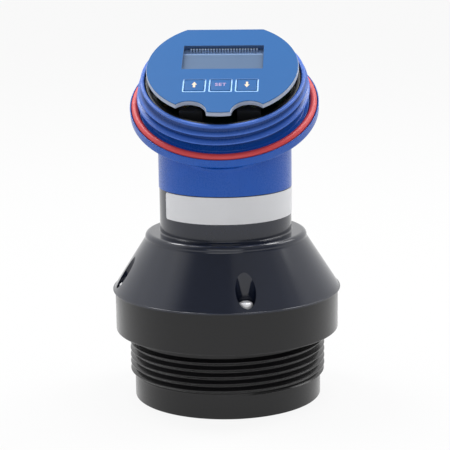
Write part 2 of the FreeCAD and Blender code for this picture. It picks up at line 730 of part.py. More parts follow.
def make_cans(label, places, radius, height):
    """Round components standing on the main board."""
    body = new_body(label, in_head=True)
    sketch = new_sketch(body, "XY_Plane", f"{label}_circles", MAIN_BOARD_TOP)
    for across, along in places:
        add_circle(sketch, across, along, radius)
    pad(body, f"{label}_cans", sketch, height)
    return body


def terminal_screw_places():
    shifts = ("- terminal_pitch / 2", "+ terminal_pitch / 2")
    return [(f"({middle} {shift})", "-terminal_y") for middle in TERMINALS for shift in shifts]


def make_terminal_blocks():
    body = new_body("terminal_blocks", in_head=True)
    sketch = new_sketch(body, "XY_Plane", "terminal_outlines", MAIN_BOARD_TOP)
    for middle in TERMINALS:
        add_rectangle(sketch, middle, "-terminal_y", "terminal_width", "terminal_depth")
    pad(body, "terminal_bodies", sketch, "terminal_height")
    sketch = new_sketch(body, "XY_Plane", "terminal_wells", f"{MAIN_BOARD_TOP} + terminal_height")
    for across, along in terminal_screw_places():
        add_circle(sketch, across, along, "(terminal_screw_radius + fit_gap)")
    pocket(body, "terminal_screw_wells", sketch, "terminal_screw_depth")
    return body


def make_terminal_screws():
    body = new_body("terminal_screws", in_head=True)
    bottom = f"({MAIN_BOARD_TOP} + terminal_height - terminal_screw_depth)"
    sketch = new_sketch(body, "XY_Plane", "terminal_screw_circles", bottom)
    for across, along in terminal_screw_places():
        add_circle(sketch, across, along, "terminal_screw_radius")
    pad(body, "terminal_screw_shanks", sketch, "terminal_screw_depth - terminal_screw_sink")
    return body


def make_transducer_lead():
    """A lead straight up from the potting, then bent into the head's axis."""
    tilt = Rotation(Vector(1, 0, 0), value("head_tilt"))
    along = tilt.multVec(Vector(0, 0, 1))
    tip = Vector(0, 0, value(HEAD)) + along * value(f"{MAIN_BOARD} - connector_height")
    corner = tip - along * value("lead_tail")
    reach = value("lead_bend * tan(head_tilt / 2)")
    foot = Vector(corner.x, corner.y, value(POTTING_TOP))
    bend_start = corner - Vector(0, 0, reach)
    bend_end = corner + along * reach
    inward = (along - Vector(0, 0, 1)).normalize()
    middle = corner + inward * value("lead_bend * (1 / cos(head_tilt / 2) - 1)")
    edges = [
        Part.LineSegment(foot, bend_start).toShape(),
        Part.Arc(bend_start, middle, bend_end).toShape(),
        Part.LineSegment(bend_end, tip).toShape(),
    ]
    circle = Part.Circle(foot, Vector(0, 0, 1), value("lead_radius")).toShape()
    lead = doc.addObject("Part::Feature", "transducer_lead")
    lead.Label = "transducer_lead"
    lead.Shape = Part.Wire(edges).makePipeShell([Part.Wire(circle)], True, False)
    return lead


def cut_plate_outline(body, top, depth, margin):
    """The straight back edge, the front notches, the window and the key openings."""
    sketch = new_sketch(body, "XY_Plane", f"{body.Label}_back_cut", top)
    middle = f"(plate_chord - {margin} + plate_radius)"
    add_rectangle(sketch, "0", middle, "2 * plate_radius", "2 * plate_radius")
    pocket(body, f"{body.Label}_back_edge", sketch, depth)
    sketch = new_sketch(body, "XY_Plane", f"{body.Label}_openings", top)
    for middle in ("-notch_x", "notch_x"):
        add_circle(sketch, middle, "-notch_y", f"(notch_radius + {margin})")
    add_rectangle(sketch, "0", "window_y", "window_width", "window_height")
    for across in KEYS.values():
        add_rectangle(sketch, across, "-key_y", KEY_OPENING_WIDTH, KEY_OPENING_HEIGHT)
    pocket(body, f"{body.Label}_cut_outs", sketch, depth)


def round_back_corners(body, margin):
    """Rounds the two upright edges where the straight back meets the circle."""
    near = 1e-3
    radius = value(f"plate_radius - {margin}")
    chord = value(f"plate_chord - {margin}")

    def at_corner(edge):
        if not isinstance(edge.Curve, Part.Line):
            return False
        return all(
            abs(point.y - chord) < near and abs(Vector(point.x, point.y, 0).Length - radius) < near
            for point in edge.discretize(3)
        )

    round_edges(body, f"{body.Label}_corners", "plate_corner", at_corner)


def make_face_plate():
    body = new_body("face_plate", in_head=True)
    sketch = new_sketch(body, "XY_Plane", "plate_circle", PLATE)
    add_circle(sketch, "0", "0", "plate_radius")
    pad(body, "plate_disc", sketch, "plate_thickness")
    cut_plate_outline(body, PLATE_TOP, "plate_thickness", "0")
    round_back_corners(body, "0")
    sketch = new_sketch(body, "XY_Plane", "leg_circles", PLATE)
    for across, along in PILLARS:
        add_circle(sketch, across, along, "plate_leg_radius")
    pad(body, "plate_legs", sketch, "plate_leg", reverse=True)
    sketch = new_sketch(body, "XY_Plane", "leg_hole_circles", DISPLAY_BOARD_TOP)
    for across, along in PILLARS:
        add_circle(sketch, across, along, "(stud_radius + fit_gap)")
    pocket(body, "leg_holes", sketch, "stud_reach + fit_gap", reverse=True)
    return body


def make_face_film():
    body = new_body("face_film", in_head=True)
    sketch = new_sketch(body, "XY_Plane", "film_circle", PLATE_TOP)
    add_circle(sketch, "0", "0", "(plate_radius - film_margin)")
    pad(body, "film_disc", sketch, "film_thickness")
    cut_plate_outline(body, FILM_TOP, "film_thickness", "film_margin")
    round_back_corners(body, "film_margin")
    return body


def make_lcd_panel():
    """Two glasses, the lower one with a contact ledge at its back edge."""
    body = new_body("lcd_panel", in_head=True)
    sketch = new_sketch(body, "XY_Plane", "lower_glass_outline", GLASS)
    add_rectangle(sketch, "0", "window_y", "glass_width", "glass_height")
    pad(body, "lower_glass", sketch, "glass_thickness")
    sketch = new_sketch(body, "XY_Plane", "upper_glass_outline", LEDGE_GLASS_TOP)
    middle = "(window_y - glass_ledge / 2)"
    add_rectangle(sketch, "0", middle, "glass_width", "(glass_height - glass_ledge)")
    pad(body, "upper_glass", sketch, "glass_thickness")
    return body


def make_lcd_holder():
    """A frame round the glass with a step that carries it."""
    body = new_body("lcd_holder", in_head=True)
    seat_width = "(glass_width + 2 * fit_gap)"
    seat_depth = "(glass_height + 2 * fit_gap)"
    outer_width = f"({seat_width} + 2 * holder_rim)"
    outer_depth = f"({seat_depth} + 2 * holder_rim)"
    hole_width = "(glass_width - 2 * holder_step)"
    hole_depth = "(glass_height - 2 * holder_step)"
    sketch = new_sketch(body, "XY_Plane", "holder_outline", DISPLAY_BOARD_TOP)
    add_rectangle(sketch, "0", "window_y", outer_width, outer_depth)
    pad(body, "holder_block", sketch, "plate_leg")
    sketch = new_sketch(body, "XY_Plane", "holder_seat", PLATE)
    add_rectangle(sketch, "0", "window_y", seat_width, seat_depth)
    pocket(body, "holder_pocket", sketch, "plate_leg - holder_floor")
    sketch = new_sketch(body, "XY_Plane", "holder_opening", GLASS)
    add_rectangle(sketch, "0", "window_y", hole_width, hole_depth)
    pocket(body, "holder_through", sketch, "holder_floor")
    return body


def make_lcd_contacts():
    """A row of contacts on the glass's ledge."""
    body = new_body("lcd_contacts", in_head=True)
    sketch = new_sketch(body, "XY_Plane", "contact_outlines", LEDGE_GLASS_TOP)
    along = "(window_y + glass_height / 2 - contact_inset)"
    for i in range(int(value("contact_count"))):
        across = f"({i} - (contact_count - 1) / 2) * contact_pitch"
        add_rectangle(sketch, f"({across})", along, "contact_width", "contact_length")
    pad(body, "contact_blocks", sketch, "contact_height")
    return body


def make_key(label, across):
    """A square cap that passes through the plate, with a flange that stops under it."""
    body = new_body(label, in_head=True)
    sketch = new_sketch(body, "XY_Plane", f"{label}_cap_outline", PLATE)
    add_rectangle(sketch, across, "-key_y", "key_width", "key_height")
    pad(body, f"{label}_cap", sketch, "plate_thickness + film_thickness + key_proud")
    sketch = new_sketch(body, "XY_Plane", f"{label}_flange_outline", PLATE)
    add_rectangle(sketch, across, "-key_y", "key_width", "(key_height + 2 * key_flange_overlap)")
    pad(body, f"{label}_flange", sketch, "key_flange", reverse=True)
    return body


def make_key_switches():
    body = new_body("key_switches", in_head=True)
    sketch = new_sketch(body, "XY_Plane", "switch_outlines", DISPLAY_BOARD_TOP)
    for across in KEYS.values():
        add_rectangle(sketch, across, "-key_y", "switch_side", "switch_side")
    pad(body, "switch_bodies", sketch, "switch_height")
    sketch = new_sketch(body, "XY_Plane", "plunger_circles", f"{DISPLAY_BOARD_TOP} + switch_height")
    for across in KEYS.values():
        add_circle(sketch, across, "-key_y", "plunger_radius")
    pad(body, "switch_plungers", sketch,
        "plate_leg - key_flange - key_travel - plunger_clearance - switch_height")
    return body


parts = [
    make_threaded_base(),
    make_disc("matching_layer", WELL_FILL, "sonic_wall", PIEZO),
    make_disc("piezo_disc", "piezo_radius", PIEZO, PIEZO_TOP),
    make_disc("isolation_sleeve", WELL_FILL, PIEZO, PIEZO_TOP, hole="(piezo_radius + fit_gap)"),
    make_disc("potting_fill", WELL_FILL, PIEZO_TOP, POTTING_TOP),
    make_transducer_lead(),
    make_seal_ring("base_seal_ring", "base_groove_radius", f"({PARTING} - {SEAL_SEAT} / 2)",
                   "seal_section"),
    make_cone_body(),
    make_cone_screws(),
    make_name_label(),
    make_head_housing(),
    make_seal_ring("neck_seal_ring", f"({BLUE_BORE} - {SEAL_SEAT} / 2)", NECK_SEAL,
                   "seal_section"),
    make_seal_ring("cover_seal_ring", "cover_seal_radius", "0", "cover_seal_section", in_head=True),
    make_display_cup(),
    make_cup_screws(),
    make_main_board(),
    make_block("lead_connector", "0", "0", "connector_width", "connector_depth", MAIN_BOARD,
               "connector_height", reverse=True),
    make_cans("drive_transformer", [("transformer_x", "transformer_y")], "transformer_radius",
              "transformer_height"),
    make_cans("drive_capacitors", [("-capacitor_x", "capacitor_y"),
                                   ("(-capacitor_x - capacitor_pitch)", "capacitor_y")],
              "capacitor_radius", "capacitor_height"),
    make_block("control_chip", "(-chip_x)", "(-chip_y)", "chip_side", "chip_side", MAIN_BOARD_TOP,
               "chip_height"),
    make_terminal_blocks(),
    make_terminal_screws(),
    make_board_pillars(),
    make_display_board(),
    make_key_switches(),
    make_lcd_holder(),
    make_lcd_panel(),
    make_lcd_contacts(),
    make_face_plate(),
    make_face_film(),
] + [make_key(label, across) for label, across in KEYS.items()]
doc.recompute()

for thing in doc.Objects:
    if "Invalid" in thing.State or "Error" in thing.State:
        raise RuntimeError(f"{thing.Label} did not recompute: {thing.State}")
for part in parts:
    if part.Shape.isNull() or not part.Shape.isValid() or not part.Shape.Solids:
        raise RuntimeError(f"{part.Label} has no sound shape")

os.makedirs("parts", exist_ok=True)
for part in parts:
    part.Shape.exportStep(f"parts/{part.Label}.step")
    print(f"{part.Label}: {len(part.Shape.Solids)} solid(s), {part.Shape.Volume:.0f} cubic mm")
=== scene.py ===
import math

import bmesh
import bpy
import numpy as np
from mathutils import Matrix


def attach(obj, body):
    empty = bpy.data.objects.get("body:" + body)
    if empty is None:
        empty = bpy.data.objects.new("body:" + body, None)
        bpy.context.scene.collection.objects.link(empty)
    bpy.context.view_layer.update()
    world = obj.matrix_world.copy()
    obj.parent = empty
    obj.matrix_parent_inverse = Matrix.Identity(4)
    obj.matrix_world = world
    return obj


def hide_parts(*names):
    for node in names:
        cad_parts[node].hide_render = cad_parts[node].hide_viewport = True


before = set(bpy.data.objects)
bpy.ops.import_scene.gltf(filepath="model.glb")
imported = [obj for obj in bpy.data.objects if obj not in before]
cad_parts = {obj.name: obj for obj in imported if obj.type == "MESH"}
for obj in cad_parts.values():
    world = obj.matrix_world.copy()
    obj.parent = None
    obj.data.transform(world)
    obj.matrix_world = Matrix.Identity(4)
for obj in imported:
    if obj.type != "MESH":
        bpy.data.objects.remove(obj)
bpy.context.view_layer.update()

bl_info = {
    "name": "Ultrasonic level transmitter",
    "version": (1, 0, 0),
    "blender": (4, 5, 0),
    "location": "View3D > Sidebar > Transmitter",
    "description": "Finished surfaces and materials for the level transmitter on its CAD frame",
    "category": "Object",
}

MM = 0.001
BODY = "transmitter"
KEY_BODIES = {"key_up": "key_up_body", "key_set": "key_set_body", "key_down": "key_down_body"}
TURN = 2 * math.pi
FRONT = 1.5 * math.pi  # direction of -Y
ROUND = 240  # columns round the large pieces
WELD = 0.0015 * MM  # points nearer than this become one
SLIVER = 0.0005 * MM  # edges shorter than this are dissolved


def length(name, millimetres, description):
    """A length property whose default is given in millimetres."""
    return bpy.props.FloatProperty(name=name, description=description, default=millimetres * MM,
                                   unit="LENGTH", subtype="DISTANCE", precision=5)


def angle(name, degrees, description):
    """An angle property whose default is given in degrees."""
    return bpy.props.FloatProperty(name=name, description=description, default=math.radians(degrees),
                                   subtype="ANGLE")


def tone(name, red, green, blue, description):
    """A colour property whose default is given as an eight-bit display colour."""
    shown = np.array((red, green, blue)) / 255
    linear = np.where(shown > 0.04045, ((shown + 0.055) / 1.055) ** 2.4, shown / 12.92)
    return bpy.props.FloatVectorProperty(name=name, description=description, size=3, min=0, max=1,
                                         default=linear.tolist(), subtype="COLOR")


class BaseSizes(bpy.types.PropertyGroup):
    nose_radius: length("Nose radius", 42.35, "Plain nose and root of the process thread")
    nose_edge: length("Nose edge", 0.35, "Rounding of the nose's lower edge")
    crest_radius: length("Crest radius", 44.3, "Crest of the process thread")
    pitch: length("Pitch", 3.175, "Process thread, eight turns to the inch")
    first_crest: length("First crest", 13.29, "Height of the lowest crest at the front")
    thread_low: length("Thread foot", 10.3, "Height where the thread runs out below")
    thread_high: length("Thread head", 28.6, "Height where the thread runs out above")
    shoulder_low: length("Shoulder underside", 31.1, "Height of the shoulder's lower face")
    shoulder_radius: length("Shoulder radius", 50.45, "Shoulder wall")
    shoulder_edge: length("Shoulder edge", 0.6, "Rounding of the shoulder's lower edge")
    rim_wall: length("Rim wall", 1.2, "Wall of the shoulder round the cone's foot")
    joint: length("Joint", 46.0, "Joint of the base and the cone")
    well_radius: length("Well radius", 36.0, "Bore of the base")
    face: length("Sonic wall", 3.2, "Thickness of the sonic face")


class ConeSizes(bpy.types.PropertyGroup):
    lip_low: length("Lip underside", 49.3, "Height of the lip's lower face")
    lip_radius: length("Lip radius", 51.5, "Lip round the foot of the cone")
    lip_height: length("Lip height", 0.8, "Upright edge of the lip")
    ledge: length("Ledge", 75.8, "Height of the flat ledge above the cone")
    ledge_radius: length("Ledge radius", 36.4, "Upright crown above the cone")
    ledge_edge: length("Ledge edge", 2.2, "Rounding of the crown's top edge")
    foot_radius: length("Cone foot", 51.0, "Foot of the cone, inside the lip")
    crown_low: length("Crown foot", 72.9, "Height where the cone meets its crown")
    neck_radius: length("Neck radius", 29.6, "Black neck")
    neck_fillet: length("Neck fillet", 0.6, "Fillet between the ledge and the neck")
    neck_top: length("Neck top", 96.2, "Joint of the black and the blue neck")
    spigot_radius: length("Spigot radius", 26.6, "Spigot inside the blue neck")
    spigot_length: length("Spigot length", 9.0, "Spigot above the joint of the necks")
    bore: length("Bore", 22.5, "Bore of the neck")
    screw_circle: length("Screw circle", 45.7, "Radius of the circle of cone screws")
    counterbore: length("Counterbore", 4.45, "Counterbore of a cone screw")
    rim_round: length("Rim rounding", 0.12, "Rounding of a counterbore's rim")
    seat: length("Screw seat", 50.0, "Height of a counterbore's floor")
    head_radius: length("Screw head", 3.1, "Head of a cone screw")
    head_height: length("Screw head height", 3.6, "Head of a cone screw")
    socket: length("Socket", 1.45, "Half the distance across the socket's flats")
    label_low: length("Label foot", 83.9, "Lower edge of the label")
    label_high: length("Label head", 95.8, "Upper edge of the label")
    label_thickness: length("Label", 0.2, "Thickness of the label")
    screw_phase: angle("Screw phase", 14, "Angle of the first cone screw")
    label_start: angle("Label start", -147.7, "Angle of the label's left end")
    label_sweep: angle("Label sweep", 180, "Angle that the label covers")


class HeadSizes(bpy.types.PropertyGroup):
    height: length("Head origin", 134.0, "Height of the cover seal's plane on the neck's axis")
    tilt: angle("Tilt", 29.2, "Forward tilt of the head")
    neck_radius: length("Neck radius", 29.8, "Blue neck")
    neck_bore: length("Neck bore", 26.7, "Bore of the blue neck")
    flange_radius: length("Flange radius", 42.0, "Flange of the collar")
    flange_low: length("Flange underside", -4.9, "Lower face of the flange")
    flange_top: length("Flange top", -0.4, "Upper face of the flange")
    flange_fillet: length("Flange fillet", 3.0, "Fillet between the flange and the neck")
    flange_edge: length("Flange edge", 1.0, "Rounding of the flange's rim")
    collar_radius: length("Collar radius", 35.8, "Root of the cover thread")
    thread_radius: length("Thread radius", 38.3, "Lowest crest of the cover thread at the front")
    thread_pitch: length("Thread pitch", 4.0, "Climb of the cover thread in one turn")
    thread_front: length("Thread front", 5.3, "Height of the lowest crest at the front")
    thread_low: length("Thread foot", 2.4, "Height where the cover thread runs out below")
    thread_high: length("Thread head", 12.1, "Height where the cover thread runs out above")
    thread_lean: bpy.props.FloatProperty(name="Thread lean", default=0.19,
                                         description="Loss of crest radius for a climb of one")
    rim_radius: length("Rim radius", 36.3, "Bead at the collar's rim")
    rim: length("Collar rim", 13.5, "Rim of the collar")
    bore: length("Collar bore", 34.5, "Bore of the collar")
    seal_radius: length("Seal radius", 39.65, "Middle of the cover seal")
    seal_section: length("Seal section", 3.1, "Section of the cover seal")
    seal_height: length("Seal height", -0.5, "Middle of the cover seal along the head's axis")
    seal_gap: length("Seal gap", 0.3, "Groove beside the cover seal")
    inlet_height: length("Inlet height", 117.0, "Axis of the conduit inlet")
    inlet_reach: length("Inlet reach", 45.0, "Face of the inlet boss from the neck's axis")
    inlet_radius: length("Inlet boss", 14.5, "Boss of the conduit inlet")
    inlet_bore: length("Inlet bore", 9.9, "Bore of the conduit inlet")
    inlet_fillet: length("Inlet fillet", 2.0, "Fillet between the boss and the neck")
    cup_radius: length("Cup radius", 34.2, "Outside of the cup")
    cup_wall: length("Cup wall", 1.8, "Wall of the cup")
    cup_floor: length("Cup floor", 2.0, "Floor of the cup")
    cup_rim: length("Cup rim", 12.6, "Rim of the cup")
    cup_opening: length("Cup opening", 9.0, "Wire opening in the cup's floor")


class PanelSizes(bpy.types.PropertyGroup):
    plate_low: length("Plate underside", 16.7, "Lower face of the face plate")
    plate_top: length("Plate top", 18.5, "Upper face of the face plate")
    plate_radius: length("Plate radius", 33.35, "Face plate")
    plate_edge: length("Plate edge", 0.45, "Rounding of the plate's upper edge")
    chord: length("Back edge", 28.6, "Straight back edge from the head's axis")
    corner: length("Back corner", 1.8, "Rounding where the back edge meets the circle")
    notch_radius: length("Notch radius", 7.6, "Front notches")
    notch_x: length("Notch place", 12.9, "Front notches from the middle")
    notch_y: length("Notch depth", 32.9, "Front notches before the head's axis")
    film_margin: length("Film margin", 0.25, "Film inside the edge of the plate")
    film_top: length("Film top", 18.75, "Upper face of the film")
    window_width: length("Window width", 35.4, "Display window")
    window_height: length("Window height", 17.5, "Display window")
    window_y: length("Window place", 7.0, "Middle of the window behind the head's axis")
    key_width: length("Key width", 8.4, "Key cap")
    key_height: length("Key height", 7.9, "Key cap")
    key_pitch: length("Key pitch", 11.35, "Distance between keys")
    key_y: length("Key place", 14.1, "Keys before the head's axis")
    key_gap: length("Key gap", 0.15, "Clearance round a key cap")
    key_top: length("Key top", 18.9, "Upper face of a key")
    frame_width: length("Frame width", 0.62, "Printed frame round a key")
    print_lift: length("Print place", 0.4, "Print of a key behind its middle")


class Colours(bpy.types.PropertyGroup):
    blue: tone("Blue shell", 27, 88, 183, "Moulded blue of the head")
    film: tone("Film", 37, 95, 156, "Printed blue of the face film")
    # partly print, partly a painted highlight on the raised frames
    frame_line: tone("Key frame", 150, 200, 250, "Light frame round a key")
    black_gloss: tone("Cone", 24, 30, 46, "Polished black of the cone")
    black_satin: tone("Base", 14, 14, 16, "Satin black of the base")
    cup: tone("Cup", 14, 15, 18, "Black of the cup")
    seal: tone("Seal", 214, 68, 72, "Red of the cover seal")
    label: tone("Label", 226, 227, 230, "White of the label")
    plate: tone("Plate", 168, 178, 198, "Pale edge of the face plate")
    # painted shade: a dark colour that stands in for the shade on the window's walls
    window: tone("Window wall", 62, 88, 128, "Dark wall of the display window")
    glass: tone("Display", 72, 100, 134, "Display behind the window")
    arrow: tone("Arrow", 224, 204, 178, "Print of the arrows")
    word: tone("Word", 176, 148, 190, "Print of the word on the middle key")
    steel: tone("Steel", 238, 238, 240, "Screws")
    brass: tone("Brass", 200, 165, 95, "Terminal screws and pillars")
    board: tone("Board", 12, 30, 22, "Circuit boards")


def sizes(name):
    return getattr(bpy.context.scene, name)


# Surfaces

def unit(vectors):
    """Vectors divided by their lengths."""
    return vectors / np.maximum(np.linalg.norm(vectors, axis=-1, keepdims=True), 1e-12)


def even_angles(count, start=0.0):
    """Angles start + k turn / count."""
    return start + np.arange(count) * (TURN / count)


def rounded(corners, radii, steps=6, hold=0.15 * MM, closed=False):
    """A polyline whose corner k becomes the arc c + r (cos t, sin t) that touches both its sides.

    Two holding points near the ends of each straight keep the flats flat under smooth shading.
    """
    corners = np.asarray(corners, float)
    radii = np.broadcast_to(np.asarray(radii, float), len(corners))
    into = unit(corners - np.roll(corners, 1, axis=0))
    out = unit(np.roll(corners, -1, axis=0) - corners)
    turn = np.arctan2(into[:, 0] * out[:, 1] - into[:, 1] * out[:, 0], (into * out).sum(axis=1))
    start = corners - into * (radii * np.abs(np.tan(turn / 2)))[:, None]
    left = np.stack((-into[:, 1], into[:, 0]), axis=1)
    centre = start + left * (radii * np.sign(turn))[:, None]
    first = np.arctan2(start[:, 1] - centre[:, 1], start[:, 0] - centre[:, 0])
    angles = first[:, None] + turn[:, None] * np.linspace(0, 1, steps + 1)
    arcs = centre[:, None] + radii[:, None, None] * np.stack((np.cos(angles), np.sin(angles)), axis=-1)
    span = np.roll(arcs[:, 0], -1, axis=0) - arcs[:, -1]
    reach = np.linalg.norm(span, axis=1, keepdims=True)
    shift = unit(span) * np.minimum(hold, reach / 4)
    holds = np.stack((arcs[:, -1] + shift, arcs[:, -1] + span - shift), axis=1)
    points = np.concatenate((arcs, holds), axis=1).reshape(-1, 2)
    return points if closed else points[:-2]


def polar(radius, angles, z):
    """Points about Z: (r cos a, r sin a, z)."""
    x = radius * np.cos(angles)
    return np.stack((x, radius * np.sin(angles), np.broadcast_to(z, x.shape)), axis=-1)


def lathe(profile, angles):
    """A profile of points (r, z) turned about Z."""
    return polar(profile[:, :1], angles, profile[:, 1:])


def turned(corners, angles, **settings):
    """A profile of corners (r, z, rounding) turned about Z."""
    corners = np.array(corners, float)
    return lathe(rounded(corners[:, :2], corners[:, 2], **settings), angles)


def in_head(points):
    """Head to part: (x, y cos T - h sin T, H + y sin T + h cos T) for tilt T and head height H."""
    head = sizes("head_sizes")
    cos, sin = math.cos(head.tilt), math.sin(head.tilt)
    x, y, h = points[..., 0], points[..., 1], points[..., 2]
    return np.stack((x, y * cos - h * sin, head.height + y * sin + h * cos), axis=-1)


def between(first, last, rows, power=1.0):
    """Rows first + (last - first) s^power, with s even from 0 to 1."""
    share = np.linspace(0, 1, rows) ** power
    return first[None] + (last - first)[None] * share.reshape((-1,) + (1,) * first.ndim)


def bend(first, corner, last, rows):
    """A curve (1-u)^2 first + 2u(1-u) corner + u^2 last between two rows, which rounds the corner row."""
    u = np.linspace(0, 1, rows).reshape((-1,) + (1,) * first.ndim)
    return (1 - u) ** 2 * first + 2 * u * (1 - u) * corner + u ** 2 * last


def box_walk(across, up):
    """Directions and unit-square places of a walk round a box, from its lower left corner.

    The four sides take the quarters of the turn from -135 degrees, so that a hole's rim and the box
    round it have the same number of points.
    """
    side_across = np.arange(across) / across
    side_up = np.arange(up) / up
    quarter = math.pi / 2
    angle = np.concatenate((side_across, 1 + side_up, 2 + side_across, 3 + side_up)) * quarter - 1.5 * quarter
    zero, one = np.zeros, np.ones
    place_x = np.concatenate((side_across, one(up), 1 - side_across, zero(up)))
    place_y = np.concatenate((zero(across), side_up, one(across), 1 - side_up))
    return angle, place_x, place_y


def tooth(pitch, root, crest, flank, flat, crest_round, foot_round, steps):
    """One pitch of a thread, as (z, r): a flank up, a flat crest, a flank down and the root, rounded."""
    corners = [(0, root), (flank, crest), (flank + flat, crest), (2 * flank + flat, root), (pitch, root)]
    profile = rounded(corners, [0, crest_round, crest_round, foot_round, 0], steps, hold=0.1 * MM)
    return profile[profile[:, 0] < 0.999 * pitch]


def helix(profile, pitch, first, low, high, angles, fade, lean=0.0):
    """Rows that climb with the angle: z = first + pitch (s + a / turn), clipped between two heights.

    The profile holds the radius over one pitch. The radius falls to the root within the fade length of
    both ends, where the thread runs out, and the tooth loses the share lean of its height for each length.
    The angles are closed by a last one a full turn after the first.
    """
    angles = np.append(angles, angles[0] + TURN)
    phase, radius = profile[:, 0] / pitch, profile[:, 1]
    root = radius.min()
    turns = np.arange(math.floor((low - first) / pitch) - 2, math.ceil((high - first) / pitch) + 1)
    steps = (turns[:, None] + phase[None]).reshape(-1)
    rows = np.tile(radius, len(turns))
    z = first + pitch * (steps[:, None] + (angles[None] - angles[0]) / TURN)
    share = np.clip((z - low) / fade[0], 0, 1) * np.clip((high - z) / fade[1], 0, 1)
    share = share * share * (3 - 2 * share) * (1 - lean * (z - low))
    return polar(root + (rows[:, None] - root) * share, angles, np.clip(z, low, high))


def ring_pole(row):
    """Closes a ring of points to its middle."""
    middle = np.broadcast_to(row.mean(axis=0), row.shape)
    return np.stack((row, middle))


def quads(rows, columns, wrap):
    """Corner numbers of the faces of a grid of rows by columns."""
    row = np.arange(rows - 1)[:, None] * columns
    column = np.arange(columns if wrap else columns - 1)[None]
    after = (column + 1) % columns
    faces = np.stack((row + column, row + after, row + columns + after, row + columns + column), axis=-1)
    return faces.reshape(-1, 4)


def placed(name, data):
    """A new object in the scene."""
    made = bpy.data.objects.new(name, data)
    bpy.context.scene.collection.objects.link(made)
    return made


def piece(name, patches, materials, replaces=(), body=BODY, sharp=40, caps=()):
    """One finished object from grids of points.

    A patch is a grid that closes on itself in the first material, or a tuple of a grid, whether it
    closes, and the number of its material. A cap is a list of closed loops, filled flat between them.
    """
    points = []
    faces = []
    marks = []
    count = 0
    for patch in patches:
        grid, wrap, mark = patch if isinstance(patch, tuple) else (patch, True, 0)
        corners = quads(grid.shape[0], grid.shape[1], wrap) + count
        points.append(grid.reshape(-1, 3))
        faces.append(corners)
        marks.append(np.full(len(corners), mark))
        count += grid.shape[0] * grid.shape[1]
    mesh = bpy.data.meshes.new(name)
    mesh.from_pydata(np.concatenate(points).tolist(), [], np.concatenate(faces).tolist())
    mesh.polygons.foreach_set("material_index", np.concatenate(marks).astype(np.int32))
    mesh.polygons.foreach_set("use_smooth", np.ones(len(mesh.polygons), dtype=bool))
    shell = bmesh.new()
    shell.from_mesh(mesh)
    bmesh.ops.remove_doubles(shell, verts=shell.verts, dist=WELD)
    bmesh.ops.dissolve_degenerate(shell, dist=SLIVER, edges=shell.edges)
    for loops in caps:
        fill_cap(shell, loops)
    bmesh.ops.remove_doubles(shell, verts=shell.verts, dist=WELD)
    bmesh.ops.recalc_face_normals(shell, faces=shell.faces)
    shell.to_mesh(mesh)
    shell.free()
    mesh.set_sharp_from_angle(angle=math.radians(sharp))
    for material in materials:
        mesh.materials.append(material)
    made = placed(name, mesh)
    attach(made, body)
    if replaces:
        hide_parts(*replaces)
    return made


def fill_cap(shell, loops):
    """Fills the flat space between closed loops of points and adds the flat faces to the shell."""
    edges = []
    count = 0
    for loop in loops:
        number = np.arange(len(loop))
        edges.append(count + np.stack((number, np.roll(number, -1)), axis=1))
        count += len(loop)
    outline = bpy.data.meshes.new("cap_outline")
    outline.from_pydata(np.concatenate(loops).tolist(), np.concatenate(edges).tolist(), [])
    cap = bmesh.new()
    cap.from_mesh(outline)
    bmesh.ops.triangle_fill(cap, use_beauty=True, use_dissolve=True, edges=cap.edges[:])
    cap.to_mesh(outline)
    cap.free()
    shell.from_mesh(outline)
    bpy.data.meshes.remove(outline)


def plate_outline(margin, count=1080):
    """The face plate's outline, moved inwards by a margin, as the nearest edge along each ray.

    From a middle point c the ray c + s d leaves at the least s of the round edge, the straight back,
    the rounded back corners and the near sides of the two notches.
    """
    panel = sizes("panel_sizes")
    angles = even_angles(count, -math.pi / 2)
    ray = np.stack((np.cos(angles), np.sin(angles)), axis=1)
    middle = np.array((0.0, -5.0 * MM))

    def crossing(centre, radius, side):
        offset = middle - centre
        half = ray @ offset
        inside = half ** 2 - (offset @ offset - radius ** 2)
        return np.where(inside > 0, -half + side * np.sqrt(np.maximum(inside, 0)), np.inf)

    radius = panel.plate_radius - margin
    chord = panel.chord - margin
    reach = crossing(np.zeros(2), radius, 1)
    back = np.where(ray[:, 1] > 1e-6, (chord - middle[1]) / np.maximum(ray[:, 1], 1e-6), np.inf)
    reach = np.minimum(reach, back)
    corner = panel.corner - margin
    corner_y = chord - corner
    corner_x = math.sqrt((radius - corner) ** 2 - corner_y ** 2)
    touch = radius / (radius - corner) * np.array((corner_x, corner_y))
    start = math.atan2(touch[1] - middle[1], touch[0])
    end = math.atan2(chord - middle[1], corner_x)
    for side in (1, -1):
        around = np.arctan2(ray[:, 1], side * ray[:, 0])
        rounded_part = crossing(np.array((side * corner_x, corner_y)), corner, 1)
        reach = np.where((around > start) & (around < end), rounded_part, reach)
        notch = np.array((side * panel.notch_x, -panel.notch_y))
        near = crossing(notch, panel.notch_radius + margin, -1)
        reach = np.minimum(reach, np.where(near > 0, near, np.inf))
    return middle + ray * reach[:, None]


def box_outline(x, y, width, height, corner, grow=0.0):
    """A rectangle with rounded corners about a point, grown by a margin on every side."""
    least = 0.02 * MM
    half_x, half_y = width / 2 + grow, height / 2 + grow
    corners = [(x - half_x, y - half_y), (x + half_x, y - half_y),
               (x + half_x, y + half_y), (x - half_x, y + half_y)]
    return rounded(corners, max(corner + grow, least), steps=8, closed=True)


def raised(outline, rows):
    """Loops of one outline in the head's frame. Each row gives the outline's margin and its height."""
    flat = np.stack([outline(margin) for margin, _ in rows])
    heights = np.broadcast_to(np.array(rows)[:, 1:, None], flat.shape[:2] + (1,))
    return in_head(np.concatenate((flat, heights), axis=-1))


def top_edge(edge, top, steps):
    """Rows (inset, height) of the quarter circle that rounds an upper edge."""
    turn = np.linspace(0, math.pi / 2, steps)
    return np.stack((edge * (1 - np.cos(turn)), top - edge * (1 - np.sin(turn))), axis=1)


# Materials

